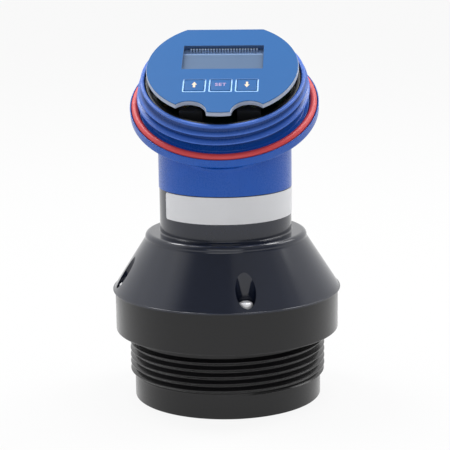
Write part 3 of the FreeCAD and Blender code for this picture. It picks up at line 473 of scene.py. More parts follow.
def node(tree, kind, **settings):
    made = tree.nodes.new(kind)
    for name, value in settings.items():
        setattr(made, name, value)
    return made


def set_inputs(made, **values):
    for name, value in values.items():
        made.inputs[name.replace("_", " ")].default_value = value


def maths(tree, operation, *values, clamp=False):
    """The result of a Math node that is fed with other nodes' outputs and plain numbers."""
    made = node(tree, "ShaderNodeMath", operation=operation, use_clamp=clamp)
    for socket, value in zip(made.inputs, values):
        if isinstance(value, (int, float)):
            socket.default_value = value
        else:
            tree.links.new(value, socket)
    return made.outputs[0]


def ramp(tree, value, start, end, first, last, kind="SMOOTHSTEP"):
    """A number that goes from first to last while the value goes from start to end, and holds outside."""
    made = node(tree, "ShaderNodeMapRange", interpolation_type=kind)
    set_inputs(made, From_Min=start, From_Max=end, To_Min=first, To_Max=last)
    tree.links.new(value, made.inputs["Value"])
    return made.outputs["Result"]


def scaled(tree, colour, factor):
    """A colour times a factor that changes over the surface."""
    made = node(tree, "ShaderNodeVectorMath", operation="SCALE")
    tree.links.new(colour, made.inputs[0])
    tree.links.new(factor, made.inputs["Scale"])
    return made.outputs["Vector"]


def towards(tree, colour, share, other):
    """A colour that gives way to a plain one by a share that changes over the surface."""
    made = node(tree, "ShaderNodeMix", data_type="RGBA")
    tree.links.new(share, made.inputs["Factor"])
    tree.links.new(colour, made.inputs["A"])
    made.inputs["B"].default_value = (*other, 1.0)
    return made.outputs["Result"]


def moulded_skin_group():
    """Fine mould grain and slow mottling: a colour that drifts, a roughness that drifts and a normal."""
    name = "moulded_skin"
    if name in bpy.data.node_groups:
        return bpy.data.node_groups[name]
    tree = bpy.data.node_groups.new(name, "ShaderNodeTree")
    for label, way, kind in (
        ("Colour", "INPUT", "Color"),
        ("Mottle", "INPUT", "Float"),
        ("Roughness", "INPUT", "Float"),
        ("Spread", "INPUT", "Float"),
        ("Grain", "INPUT", "Float"),
        ("Depth", "INPUT", "Float"),
        ("Colour", "OUTPUT", "Color"),
        ("Roughness", "OUTPUT", "Float"),
        ("Normal", "OUTPUT", "Vector"),
    ):
        tree.interface.new_socket(label, in_out=way, socket_type=f"NodeSocket{kind}")
    given = node(tree, "NodeGroupInput").outputs
    leave = node(tree, "NodeGroupOutput").inputs
    place = node(tree, "ShaderNodeTexCoord").outputs["Object"]
    slow = node(tree, "ShaderNodeTexNoise")
    set_inputs(slow, Scale=45.0, Detail=4.0, Roughness=0.6)
    fine = node(tree, "ShaderNodeTexNoise")
    set_inputs(fine, Detail=2.0, Roughness=0.5)
    tree.links.new(given["Grain"], fine.inputs["Scale"])
    for noise in (slow, fine):
        tree.links.new(place, noise.inputs["Vector"])
    slow, fine = slow.outputs["Fac"], fine.outputs["Fac"]
    drift = ramp(tree, slow, 0.3, 0.7, -1.0, 1.0, "LINEAR")
    shade = maths(tree, "MULTIPLY_ADD", drift, given["Mottle"], 1.0)
    tree.links.new(scaled(tree, given["Colour"], shade), leave["Colour"])
    centred = maths(tree, "SUBTRACT", maths(tree, "ADD", slow, fine), 1.0)
    rough = maths(tree, "MULTIPLY_ADD", centred, given["Spread"], given["Roughness"], clamp=True)
    tree.links.new(rough, leave["Roughness"])
    bump = node(tree, "ShaderNodeBump")
    set_inputs(bump, Distance=0.02 * MM)
    tree.links.new(given["Depth"], bump.inputs["Strength"])
    tree.links.new(fine, bump.inputs["Height"])
    tree.links.new(bump.outputs["Normal"], leave["Normal"])
    return tree


def skin(name, colour, roughness, mottle=0.06, spread=0.12, grain=2600.0, depth=0.25, **shader):
    """A plastic, rubber or metal with the moulded skin on it. Further values go to the shader itself."""
    if name in bpy.data.materials:
        return bpy.data.materials[name]
    made = bpy.data.materials.new(name)
    made.use_nodes = True
    tree = made.node_tree
    principled = tree.nodes["Principled BSDF"]
    group = node(tree, "ShaderNodeGroup", node_tree=moulded_skin_group())
    set_inputs(group, Colour=(*colour, 1.0), Mottle=mottle, Roughness=roughness, Spread=spread,
               Grain=grain, Depth=depth)
    for given, socket in (("Colour", "Base Color"), ("Roughness", "Roughness"), ("Normal", "Normal")):
        tree.links.new(group.outputs[given], principled.inputs[socket])
    set_inputs(principled, **shader)
    return made


def painted(made, paint):
    """Puts a paint between a material's skin and its shader, unless it is already there.

    The paint gets the tree, the skin's colour and the Object coordinates in the head's frame.
    """
    tree = made.node_tree
    base = tree.nodes["Principled BSDF"].inputs["Base Color"]
    colour = base.links[0].from_socket
    if colour.node.type == "GROUP":
        tree.links.new(paint(tree, colour, head_place(tree)), base)
    return made


def head_place(tree):
    """Object coordinates turned into the head's frame."""
    head = sizes("head_sizes")
    place = node(tree, "ShaderNodeTexCoord")
    turn = node(tree, "ShaderNodeMapping", vector_type="TEXTURE")
    set_inputs(turn, Location=(0, 0, head.height), Rotation=(head.tilt, 0, 0))
    tree.links.new(place.outputs["Object"], turn.inputs["Vector"])
    axes = node(tree, "ShaderNodeSeparateXYZ")
    tree.links.new(turn.outputs["Vector"], axes.inputs["Vector"])
    return axes.outputs


def colours():
    return bpy.context.scene.transmitter_colours


def blue_plastic():
    """Blue shell, with painted highlights on the crests and rim of the collar and painted shade in its
    grooves.
    """
    head = sizes("head_sizes")
    groove_depth, flange_fade, rim_lift, rim_fade = 1.7 * MM, 4.2 * MM, 0.3 * MM, 0.7 * MM
    # painted light: the crests and rim are lightened and paled as painted highlights, the grooves darkened as
    # painted shade
    crest_highlight_gain, groove_shade_loss, crest_highlight_share = 0.28, 0.55, 0.14
    highlight_blue = (0.35, 0.42, 0.60)
    blue = skin("blue_plastic", colours().blue, 0.28, mottle=0.05, spread=0.10, grain=1800.0, depth=0.05,
                Specular_IOR_Level=0.33)

    def collar_light_and_shade(tree, colour, axes):
        reach = maths(tree, "SQRT", maths(tree, "ADD", maths(tree, "MULTIPLY", axes["X"], axes["X"]),
                                          maths(tree, "MULTIPLY", axes["Y"], axes["Y"])))
        sunk = ramp(tree, reach, head.collar_radius, head.collar_radius + groove_depth, 1.0, 0.0)
        above = ramp(tree, axes["Z"], head.flange_top, head.flange_top + flange_fade, 0.0, 1.0)
        rim = head.thread_high + rim_lift
        below = ramp(tree, axes["Z"], rim - rim_fade, rim, 1.0, 0.0)
        # painted shade in the grooves, fading out towards the flange; painted highlight on the rest of the
        # collar above the flange
        groove = maths(tree, "MULTIPLY", maths(tree, "MULTIPLY", above, below), sunk)
        crest = maths(tree, "SUBTRACT", above, groove)
        highlighted = maths(tree, "MULTIPLY_ADD", crest, crest_highlight_gain, 1.0)
        level = maths(tree, "MULTIPLY_ADD", groove, -groove_shade_loss, highlighted)
        share = maths(tree, "MULTIPLY", crest, crest_highlight_share)
        return towards(tree, scaled(tree, colour, level), share, highlight_blue)

    return painted(blue, collar_light_and_shade)


def gloss_black():
    return skin("gloss_black", colours().black_gloss, 0.16, mottle=0.10, spread=0.06, grain=1200.0,
                depth=0.04, Specular_IOR_Level=0.6)


def satin_black():
    return skin("satin_black", colours().black_satin, 0.22, mottle=0.10, spread=0.12, grain=3600.0,
                depth=0.22, Specular_IOR_Level=0.43, Sheen_Weight=0.25, Sheen_Roughness=0.3)


def cup_black():
    return skin("cup_skin", colours().cup, 0.38, mottle=0.10, spread=0.14, depth=0.3)


def red_rubber():
    return skin("red_rubber", colours().seal, 0.42, mottle=0.07, spread=0.14, grain=2200.0, depth=0.35)


def label_film():
    return skin("label_film", colours().label, 0.36, mottle=0.02, spread=0.08, grain=3000.0, depth=0.08)


def turned_steel():
    return skin("turned_steel", colours().steel, 0.46, mottle=0.05, spread=0.14, grain=5200.0, depth=0.2,
                Metallic=0.4)


def pale_plate():
    return skin("pale_plate", colours().plate, 0.34, mottle=0.03, spread=0.10, grain=2200.0, depth=0.15)


# painted shade: the window's walls get a dark colour that stands in for the shade inside the window
def window_wall_shade():
    return skin("window_wall_shade", colours().window, 0.42, spread=0.10, grain=2200.0, depth=0.2)


def printed_film():
    return skin("printed_film", colours().film, 0.38, mottle=0.02, spread=0.08, grain=4200.0, depth=0.22,
                Specular_IOR_Level=0.12)


def frame_print_and_highlight():
    """Light print of the key frames, which also stands in as a painted highlight on the raised frames, faded
    into the film's blue along each frame's far side as painted shade.
    """
    panel = sizes("panel_sizes")
    edge = panel.key_height / 2 - panel.key_y
    fade_start, fade_stop, far_shade_share = edge - 0.9 * MM, edge + 0.2 * MM, 0.95
    line = skin("frame_print_and_highlight", colours().frame_line, 0.34, mottle=0.02, spread=0.08, grain=4200.0, depth=0.15)

    def far_side_shade(tree, colour, axes):
        # painted shade along the far side of each raised frame
        far_shade = ramp(tree, axes["Y"], fade_start, fade_stop, 0.0, far_shade_share, "LINEAR")
        return towards(tree, colour, far_shade, colours().film)

    return painted(line, far_side_shade)


def display_glass():
    """The display: a grey-blue panel, painted paler along the edge that holds the contacts, as painted light
    where the window's walls shade it.
    """
    contact_edge, fade, share = 12 * MM, 0.6 * MM, 0.9
    painted_light_blue = (0.30, 0.46, 0.76)
    glass = skin("display_panel", colours().glass, 0.40, mottle=0.03, spread=0.05, grain=900.0, depth=0.03,
                 Specular_IOR_Level=0.3)

    # painted light: the shaded ledge under the window's upper wall is given a paler blue
    def lit_contact_ledge(tree, colour, axes):
        ledge = ramp(tree, axes["Y"], contact_edge - fade, contact_edge + fade, 0.0, share, "LINEAR")
        return towards(tree, colour, ledge, painted_light_blue)

    return painted(glass, lit_contact_ledge)


def plain_finish(name, colour, roughness):
    return skin(name, colour, roughness, mottle=0.08)


# Pieces

class TRANSMITTER_OT_base(bpy.types.Operator):
    """Base moulding: nose, helical process thread, shoulder and well"""
    bl_idname = "transmitter.base"
    bl_label = "Base moulding"

    def execute(self, context):
        base = sizes("base_sizes")
        cone = sizes("cone_sizes")
        angles = even_angles(ROUND, math.pi / 2)
        flat, crest_round, foot_round = 0.35 * MM, 0.22 * MM, 0.12 * MM
        run_out = (1.0 * MM, 1.5 * MM)
        flank = (base.pitch - 2 * flat) / 2
        profile = tooth(base.pitch, base.nose_radius, base.crest_radius, flank, flat, crest_round, foot_round,
                        steps=3)
        first = base.first_crest - flank - flat / 2 - base.pitch * (FRONT - angles[0]) / TURN
        thread = helix(profile, base.pitch, first, base.thread_low, base.thread_high, angles, run_out)
        nose = turned([
            (0, 0, 0),
            (base.nose_radius, 0, base.nose_edge),
            (base.nose_radius, base.thread_low, 0),
        ], angles)
        rim = base.shoulder_radius - base.rim_wall
        shoulder = turned([
            (base.nose_radius, base.thread_high, 0),
            (base.nose_radius, base.shoulder_low, 0.5 * MM),
            (base.shoulder_radius, base.shoulder_low, base.shoulder_edge),
            (base.shoulder_radius, cone.lip_low, 0.25 * MM),
            (rim, cone.lip_low, 0.2 * MM),
            (rim, base.joint, 0),
            (base.well_radius, base.joint, 0.3 * MM),
            (base.well_radius, base.face, 0.5 * MM),
            (0, base.face, 0),
        ], angles)
        patches = [nose, (thread, False, 0), shoulder]
        piece("base_moulding", patches, [satin_black()], ["threaded_base"])
        return {"FINISHED"}


def screw_places():
    """The angles and the middles of the four cone screws, evenly spaced on their circle."""
    cone = sizes("cone_sizes")
    turns = even_angles(4, cone.screw_phase)
    return zip(turns, polar(cone.screw_circle, turns, 0.0))


class TRANSMITTER_OT_cone(bpy.types.Operator):
    """Cone moulding: lip, cone with four counterbores, ledge, neck and spigot"""
    bl_idname = "transmitter.cone"
    bl_label = "Cone moulding"

    def execute(self, context):
        base = sizes("base_sizes")
        cone = sizes("cone_sizes")
        across, up, rings = 60, 26, 22
        play, floor_round = 0.1 * MM, 0.2 * MM
        roof_drop, well_rise = 4 * MM, 14 * MM
        band_start, band_stop = 0.1 * MM, 1.0 * MM
        angles = even_angles(4 * across, cone.screw_phase - math.pi / 4)
        foot = base.shoulder_radius - base.rim_wall - play
        top = cone.lip_low + cone.lip_height
        tip = cone.neck_top + cone.spigot_length
        slope = (cone.ledge_radius - cone.foot_radius) / (cone.crown_low - top)
        low, high = top + band_start, cone.crown_low - band_stop

        def radius_at(z):
            """Radius of the cone at a height, even between its foot and its crown."""
            return cone.foot_radius + slope * (z - top)

        lower = turned([
            (base.well_radius, base.joint, 0),
            (foot, base.joint, 0),
            (foot, cone.lip_low, 0),
            (cone.lip_radius, cone.lip_low, 0.3 * MM),
            (cone.lip_radius, top, 0.35 * MM),
            (cone.foot_radius, top, 0.04 * MM),
            (radius_at(low), low, 0),
        ], angles)
        upper = turned([
            (radius_at(high), high, 0),
            (cone.ledge_radius, cone.crown_low, 1.9 * MM),
            (cone.ledge_radius, cone.ledge, cone.ledge_edge),
            (cone.neck_radius, cone.ledge, cone.neck_fillet),
            (cone.neck_radius, cone.neck_top, 0.25 * MM),
            (cone.spigot_radius, cone.neck_top, 0),
            (cone.spigot_radius, tip, 0.5 * MM),
            (cone.bore, tip, 0.5 * MM),
            (cone.bore, cone.ledge - roof_drop, 1 * MM),
            (base.well_radius, base.joint + well_rise, 1 * MM),
            (base.well_radius, base.joint, 0),
        ], angles, steps=8)
        patches = [lower, upper]

        direction, place_x, place_y = box_walk(across, up)
        outer = np.stack(((place_x - 0.5) * math.pi / 2, low + (high - low) * place_y), axis=-1)

        def rim(radius):
            """Where an upright cylinder on the screw circle meets the cone, as angle and height."""
            x = cone.screw_circle - radius * np.sin(direction)
            y = radius * np.cos(direction)
            return np.stack((np.arctan2(y, x), top + (np.hypot(x, y) - cone.foot_radius) / slope), axis=-1)

        def on_cone(place, turn):
            """Points of the cone from angles and heights, turned to a screw."""
            return polar(radius_at(place[..., 1]), place[..., 0] + turn, place[..., 1])

        for turn, middle in screw_places():
            sheet = on_cone(between(rim(cone.counterbore + cone.rim_round), outer, rings, 1.6), turn)
            edge = on_cone(rim(cone.counterbore), turn)
            below = edge - np.array((0, 0, cone.rim_round))
            wall_foot = below.copy()
            wall_foot[:, 2] = cone.seat + floor_round
            inward = unit((middle - wall_foot) * np.array((1, 1, 0)))
            corner = wall_foot - np.array((0, 0, floor_round))
            floor = corner + inward * floor_round
            patches += [
                sheet,
                bend(sheet[0], edge, below, 6),
                between(below, wall_foot, 6),
                bend(wall_foot, corner, floor, 4),
                ring_pole(floor),
            ]
        piece("cone_moulding", patches, [gloss_black()], ["cone_body"], sharp=60)
        return {"FINISHED"}


class TRANSMITTER_OT_screws(bpy.types.Operator):
    """Cone screws: pan heads with hexagon sockets and shanks"""
    bl_idname = "transmitter.screws"
    bl_label = "Cone screws"

    def execute(self, context):
        cone = sizes("cone_sizes")
        shank, shank_length, flat_top = 1.75 * MM, 12 * MM, 1.95 * MM
        chamfer, socket_depth = 0.15 * MM, 1.3 * MM
        angles = even_angles(72)
        sixth = math.pi / 3
        hexagon = cone.socket / np.cos((angles + sixth / 2) % sixth - sixth / 2)
        top = cone.seat + cone.head_height
        tip = cone.seat - shank_length
        body = turned([
            (0, tip, 0),
            (shank, tip, 0.4 * MM),
            (shank, cone.seat, 0),
            (cone.head_radius, cone.seat, 0.2 * MM),
            (cone.head_radius, top, 1.6 * MM),
            (flat_top, top, 0),
        ], angles)
        mouth = polar(hexagon + chamfer, angles, top)
        throat = polar(hexagon, angles, top - chamfer)
        floor = polar(hexagon, angles, top - socket_depth)
        grids = (body, np.stack((body[-1], mouth, throat, floor)), ring_pole(floor))
        patches = [grid + middle for _, middle in screw_places() for grid in grids]
        piece("cone_screw_set", patches, [turned_steel()], ["cone_screws"])
        return {"FINISHED"}


class TRANSMITTER_OT_label(bpy.types.Operator):
    """Label: a bare white strip with rounded corners wrapped round the neck"""
    bl_idname = "transmitter.label"
    bl_label = "Label"

    def execute(self, context):
        cone = sizes("cone_sizes")
        gap, corner = 0.02 * MM, 1.2 * MM
        columns, rows, inset, edge_lift = 121, 11, 0.99, 0.7
        inner = cone.neck_radius + gap
        reach = cone.label_sweep * inner
        turn = np.linspace(0, math.pi / 2, 8)
        end = corner * (1 - np.cos(turn))
        along = np.concatenate((end, np.linspace(corner, reach - corner, columns)[1:-1], reach - end[::-1]))
        near = np.minimum(along, reach - along)
        inside = np.maximum(corner - near, 0)
        half = (cone.label_high - cone.label_low) / 2 - corner + np.sqrt(corner ** 2 - inside ** 2)
        across = np.concatenate(([-1, -1], np.linspace(-inset, inset, rows), [1, 1]))
        lift = np.concatenate(([0, edge_lift], np.ones(rows), [edge_lift, 0])) * cone.label_thickness + inner
        angle = cone.label_start + along / inner
        z = (cone.label_low + cone.label_high) / 2 + np.outer(half, across)
        strip = polar(lift, angle[:, None], z)
        patches = [strip, ring_pole(strip[0]), ring_pole(strip[-1])]
        piece("neck_label", patches, [label_film()], ["name_label"])
        return {"FINISHED"}


class TRANSMITTER_OT_shell(bpy.types.Operator):
    """Head shell: upright neck with its inlet boss, flange, seal groove and threaded collar"""
    bl_idname = "transmitter.shell"
    bl_label = "Head shell"

    def execute(self, context):
        head = sizes("head_sizes")
        cone = sizes("cone_sizes")
        angles = even_angles(ROUND, math.pi / 6)
        slope = math.tan(head.tilt)
        cos, sin = math.cos(head.tilt), math.sin(head.tilt)

        def underside(reach):
            """Height of the flange's lower face at a reach from the neck's axis."""
            return head.height + head.flange_low / cos + slope * np.sin(angles) * reach

        # fillet in each upright plane, between the neck and the flange's underside
        turn = math.pi / 2 - np.arctan(slope * np.sin(angles))
        fillet_low = underside(head.neck_radius) - head.flange_fillet * np.tan(turn / 2)
        t = np.linspace(0, 1, 9)[:, None] * turn
        fillet = polar(head.neck_radius + head.flange_fillet * (1 - np.cos(t)), angles,
                       fillet_low + head.flange_fillet * np.sin(t))

        # where each upright plane meets the flange's rim
        rim_radius = head.flange_radius - head.flange_edge
        a = np.cos(angles) ** 2 + (np.sin(angles) / cos) ** 2
        b = 2 * np.sin(angles) * head.flange_low * sin / cos ** 2
        c = (head.flange_low * sin / cos) ** 2 - rim_radius ** 2
        reach = (-b + np.sqrt(b * b - 4 * a * c)) / (2 * a)
        rim_low = polar(reach, angles, underside(reach))
        around = np.unwrap(np.arctan2((reach * np.sin(angles) + head.flange_low * sin) / cos,
                                      reach * np.cos(angles)))

        flange, thread, rim = self.collar(around)
        bore_top = polar(head.neck_bore, angles, head.height + slope * np.sin(angles) * head.neck_bore)
        walls, inlet = self.walls(angles, fillet_low, bore_top[:, 2])
        foot = [polar(radius, angles, cone.neck_top) for radius in (head.neck_radius, head.neck_bore)]
        patches = walls + [
            fillet,
            between(fillet[-1], rim_low, 6),
            flange,
            (thread, False, 0),
            rim,
            between(rim[-1], bore_top, 4),
            np.stack(foot),
        ] + inlet
        piece("head_shell", patches, [blue_plastic()], ["head_housing"], sharp=55)
        return {"FINISHED"}

    def collar(self, around):
        """The flange with its seal groove, the cover thread and the rim, turned about the head's axis."""
        head = sizes("head_sizes")
        root = head.collar_radius
        side = head.seal_section / 2 + head.seal_gap
        clearance, bead_low, bead_full = 0.05 * MM, 0.1 * MM, 0.6 * MM
        floor = head.seal_height - head.seal_section / 2 - clearance
        flange = turned([
            (head.flange_radius - head.flange_edge, head.flange_low, 0),
            (head.flange_radius, head.flange_low, 0.95 * MM),
            (head.flange_radius, head.flange_top, 0.25 * MM),
            (head.seal_radius + side, head.flange_top, 0.15 * MM),
            (head.seal_radius + side, floor, 0.6 * MM),
            (head.seal_radius - side, floor, 0.6 * MM),
            (head.seal_radius - side, head.flange_top, 0.25 * MM),
            (root, head.flange_top, 0.5 * MM),
            (root, head.thread_low, 0),
        ], around, steps=5)
        rim = turned([
            (root, head.thread_high, 0),
            (root, head.thread_high + bead_low, 0.1 * MM),
            (head.rim_radius, head.thread_high + bead_full, 0.3 * MM),
            (head.rim_radius, head.rim, 0.55 * MM),
            (head.bore, head.rim, 0.6 * MM),
            (head.bore, 0, 0),
        ], around, steps=5)
        rise = head.thread_radius - root + head.thread_lean * (head.thread_front - head.thread_low)
        flank, flat, crest_round, foot_round = 0.95 * MM, 0.6 * MM, 0.45 * MM, 0.35 * MM
        run_out = (1.4 * MM, 1.4 * MM)
        profile = tooth(head.thread_pitch, root, root + rise, flank, flat, crest_round, foot_round, steps=4)
        first = head.thread_front - flank - flat / 2 - head.thread_pitch * (FRONT - around[0]) / TURN
        thread = helix(profile, head.thread_pitch, first, head.thread_low, head.thread_high, around, run_out,
                       head.thread_lean / rise)
        return in_head(flange), in_head(thread), in_head(rim)

    def walls(self, angles, outer_top, inner_top):
        """The two upright walls of the neck, each pierced at the back, and the inlet that joins them.

        The inlet is a filleted boss, its mouth and a threaded bore.
        """
        head = sizes("head_sizes")
        joint = sizes("cone_sizes").neck_top
        across, up, rings = 80, 36, 16
        box_foot, box_rise = 2.8 * MM, 18 * MM
        box_low, box_high = joint + box_foot, head.inlet_height + box_rise
        gap = np.arange(across, len(angles) + 1) % len(angles)
        direction, place_x, place_y = box_walk(across, up)
        sweep = angles[across] - angles[0]
        box = np.stack((angles[0] + sweep * place_x, box_low + (box_high - box_low) * place_y), axis=-1)

        def wall(radius, top):
            """A round wall below, above and beside the box that holds the inlet."""
            share = (box_high - box_low) / (top[0] - box_low)
            middle = np.where(np.arange(len(angles)) <= across, box_high, box_low + (top - box_low) * share)
            foot, low, high, brow = [polar(radius, angles, z) for z in (joint, box_low, middle, top)]
            beside = between(low[gap], high[gap], up + 1)
            return [between(foot, low, 4), between(high, brow, 4), (beside, False, 0)]

        def on_wall(radius, hole):
            """Where a round hole about the inlet's axis meets a wall, as angle and height."""
            shift = hole * np.cos(direction)
            z = head.inlet_height + hole * np.sin(direction)
            return np.stack((math.pi / 2 + np.arcsin(shift / radius), z), axis=-1)

        def bent(place, radius):
            """Points of a wall from angles and heights."""
            return polar(radius, place[..., 0], place[..., 1])

        def sheet(radius, hole):
            """The wall from the rim of a hole to the box, with closer rows near the hole."""
            return bent(between(on_wall(radius, hole), box, rings, 1.4), radius)

        def round_inlet(radius, y):
            """Rings about the inlet's axis: (-r cos d, y, H + r sin d) for the walk's directions d."""
            x = -radius * np.cos(direction)
            z = head.inlet_height + radius * np.sin(direction)
            return np.stack((x, np.broadcast_to(y, x.shape), z), axis=-1)

        outer_sheet = sheet(head.neck_radius, head.inlet_radius + head.inlet_fillet)
        inner_sheet = sheet(head.neck_bore, head.inlet_bore)
        saddle = bent(on_wall(head.neck_radius, head.inlet_radius), head.neck_radius)
        boss_foot = saddle + np.array((0, head.inlet_fillet, 0))
        face, lip, lead_in = head.inlet_reach, 2 * MM, 1.2 * MM
        mouth = rounded([
            (head.inlet_radius, face - lip),
            (head.inlet_radius, face),
            (head.inlet_bore + lead_in, face),
            (head.inlet_bore, face - lead_in),
        ], np.array([0, 0.8, 0.2, 0]) * MM)
        mouth = round_inlet(mouth[:, :1], mouth[:, 1:])
        pitch, depth, bore_low, bore_first = 1.814 * MM, 0.85 * MM, 27.5 * MM, 28 * MM
        run_out = (1.2 * MM, 0.4 * MM)
        groove = rounded([
            (0, head.inlet_bore),
            (pitch / 2, head.inlet_bore + depth),
            (pitch, head.inlet_bore),
        ], [0, 0.15 * MM, 0], steps=3, hold=0.05 * MM)
        groove = groove[groove[:, 0] < 0.999 * pitch]
        inside = helix(groove, pitch, bore_first, bore_low, face - lead_in, direction, run_out)
        bore = np.stack((-inside[..., 0], inside[..., 2], head.inlet_height + inside[..., 1]), axis=-1)
        inlet = [
            outer_sheet,
            bend(outer_sheet[0], saddle, boss_foot, 7),
            between(boss_foot, mouth[0], 5),
            mouth,
            (bore, False, 0),
            between(round_inlet(head.inlet_bore, bore_low), inner_sheet[0], 3),
            inner_sheet,
        ]
        return wall(head.neck_radius, outer_top) + wall(head.neck_bore, inner_top), inlet


class TRANSMITTER_OT_seal(bpy.types.Operator):
    """Cover seal: a red ring in the flange's groove"""
    bl_idname = "transmitter.seal"
    bl_label = "Cover seal"

    def execute(self, context):
        head = sizes("head_sizes")
        section = np.append(even_angles(28), 0.0)
        radius = head.seal_section / 2
        profile = np.stack((head.seal_radius + radius * np.cos(section),
                            head.seal_height + radius * np.sin(section)), axis=1)
        ring = in_head(lathe(profile, even_angles(ROUND)))
        piece("red_cover_seal", [ring], [red_rubber()], ["cover_seal_ring"])
        return {"FINISHED"}


class TRANSMITTER_OT_cup(bpy.types.Operator):
    """Cup: a black liner inside the collar with its floor, wire opening and board bosses"""
    bl_idname = "transmitter.cup"
    bl_label = "Cup"

    def execute(self, context):
        head = sizes("head_sizes")
        inner = head.cup_radius - head.cup_wall
        liner = turned([
            (head.cup_opening, 0, 0.3 * MM),
            (head.cup_radius, 0, 0.4 * MM),
            (head.cup_radius, head.cup_rim, 0.5 * MM),
            (inner, head.cup_rim, 0.5 * MM),
            (inner, head.cup_floor, 0.8 * MM),
            (head.cup_opening, head.cup_floor, 0.3 * MM),
        ], even_angles(200), closed=True)
        boss_radius, boss_top = 2.4 * MM, head.cup_floor + 2.6 * MM
        boss = turned([
            (boss_radius, head.cup_floor, 0),
            (boss_radius, boss_top, 0.3 * MM),
            (0, boss_top, 0),
        ], even_angles(32))
        places = np.array(((25, 12, 0), (-25, 12, 0), (25, -9, 0), (-25, -9, 0))) * MM
        patches = [in_head(np.concatenate((liner, liner[:1])))]
        patches += [in_head(boss + place) for place in places]
        piece("cup_liner", patches, [cup_black()], ["display_cup"])
        return {"FINISHED"}


def key_places():
    """The middles of the three keys along X, by the name of the key."""
    pitch = sizes("panel_sizes").key_pitch
    return {"key_up": -pitch, "key_set": 0.0, "key_down": pitch}


def key_outline(x, corner, gap=0.0, deeper=0.0):
    """The outline of a key at x, as a function of the margin by which it grows."""
    panel = sizes("panel_sizes")

    def outline(margin):
        return box_outline(x, -panel.key_y, panel.key_width, panel.key_height + deeper, corner, gap + margin)

    return outline


class TRANSMITTER_OT_plate(bpy.types.Operator):
    """Face plate and film: a pale plate with rounded edges, its printed film and the key frames"""
    bl_idname = "transmitter.plate"
    bl_label = "Face plate and film"

    def execute(self, context):
        panel = sizes("panel_sizes")
        low, top = panel.plate_low, panel.plate_top
        foot = 0.2 * MM
        sides = np.vstack(([(0, low), (0, low + foot)], top_edge(panel.plate_edge, top, 6)))
        self.sheet("face_plate_shell", pale_plate(), "plate_pale", "face_plate", sides, [(0, low), (0, top)])

        gap, chamfer = 0.01 * MM, 0.08 * MM
        rows = np.array([
            (0, top + gap),
            (0, panel.film_top - chamfer),
            (chamfer, panel.film_top),
        ])
        sides = rows + (panel.film_margin, 0)
        self.sheet("printed_face_film", printed_film(), "film_blue", "face_film", sides, rows)

        arc = np.linspace(math.pi, 0, 9)
        corner, frame_gap, sunk, bulge = -0.1 * MM, 0.55 * MM, 0.03 * MM, 0.16 * MM
        height = panel.film_top - sunk + bulge * np.sin(arc)
        rows = np.stack((panel.frame_width / 2 * np.cos(arc), height), axis=1)
        patches = [raised(key_outline(x, corner, frame_gap), rows) for x in key_places().values()]
        piece("key_frames", patches, [frame_print_and_highlight()])
        return {"FINISHED"}

    def sheet(self, name, material, slot, replaced, sides, through):
        """A flat sheet in the plate's outline, with the window and the key openings through it."""
        panel = sizes("panel_sizes")
        window_corner, key_corner = 0.4 * MM, 0.7 * MM

        def window(margin):
            return box_outline(0, panel.window_y, panel.window_width, panel.window_height, window_corner,
                               margin)

        holes = [window] + [key_outline(x, key_corner, panel.key_gap) for x in key_places().values()]
        walls = [raised(plate_outline, sides)] + [raised(hole, through) for hole in holes]
        patches = [walls[0], (walls[1], True, 1)] + walls[2:]
        caps = [[wall[-1] for wall in walls], [wall[0] for wall in walls]]
        piece(name, patches, [material, window_wall_shade()], [replaced], caps=caps)


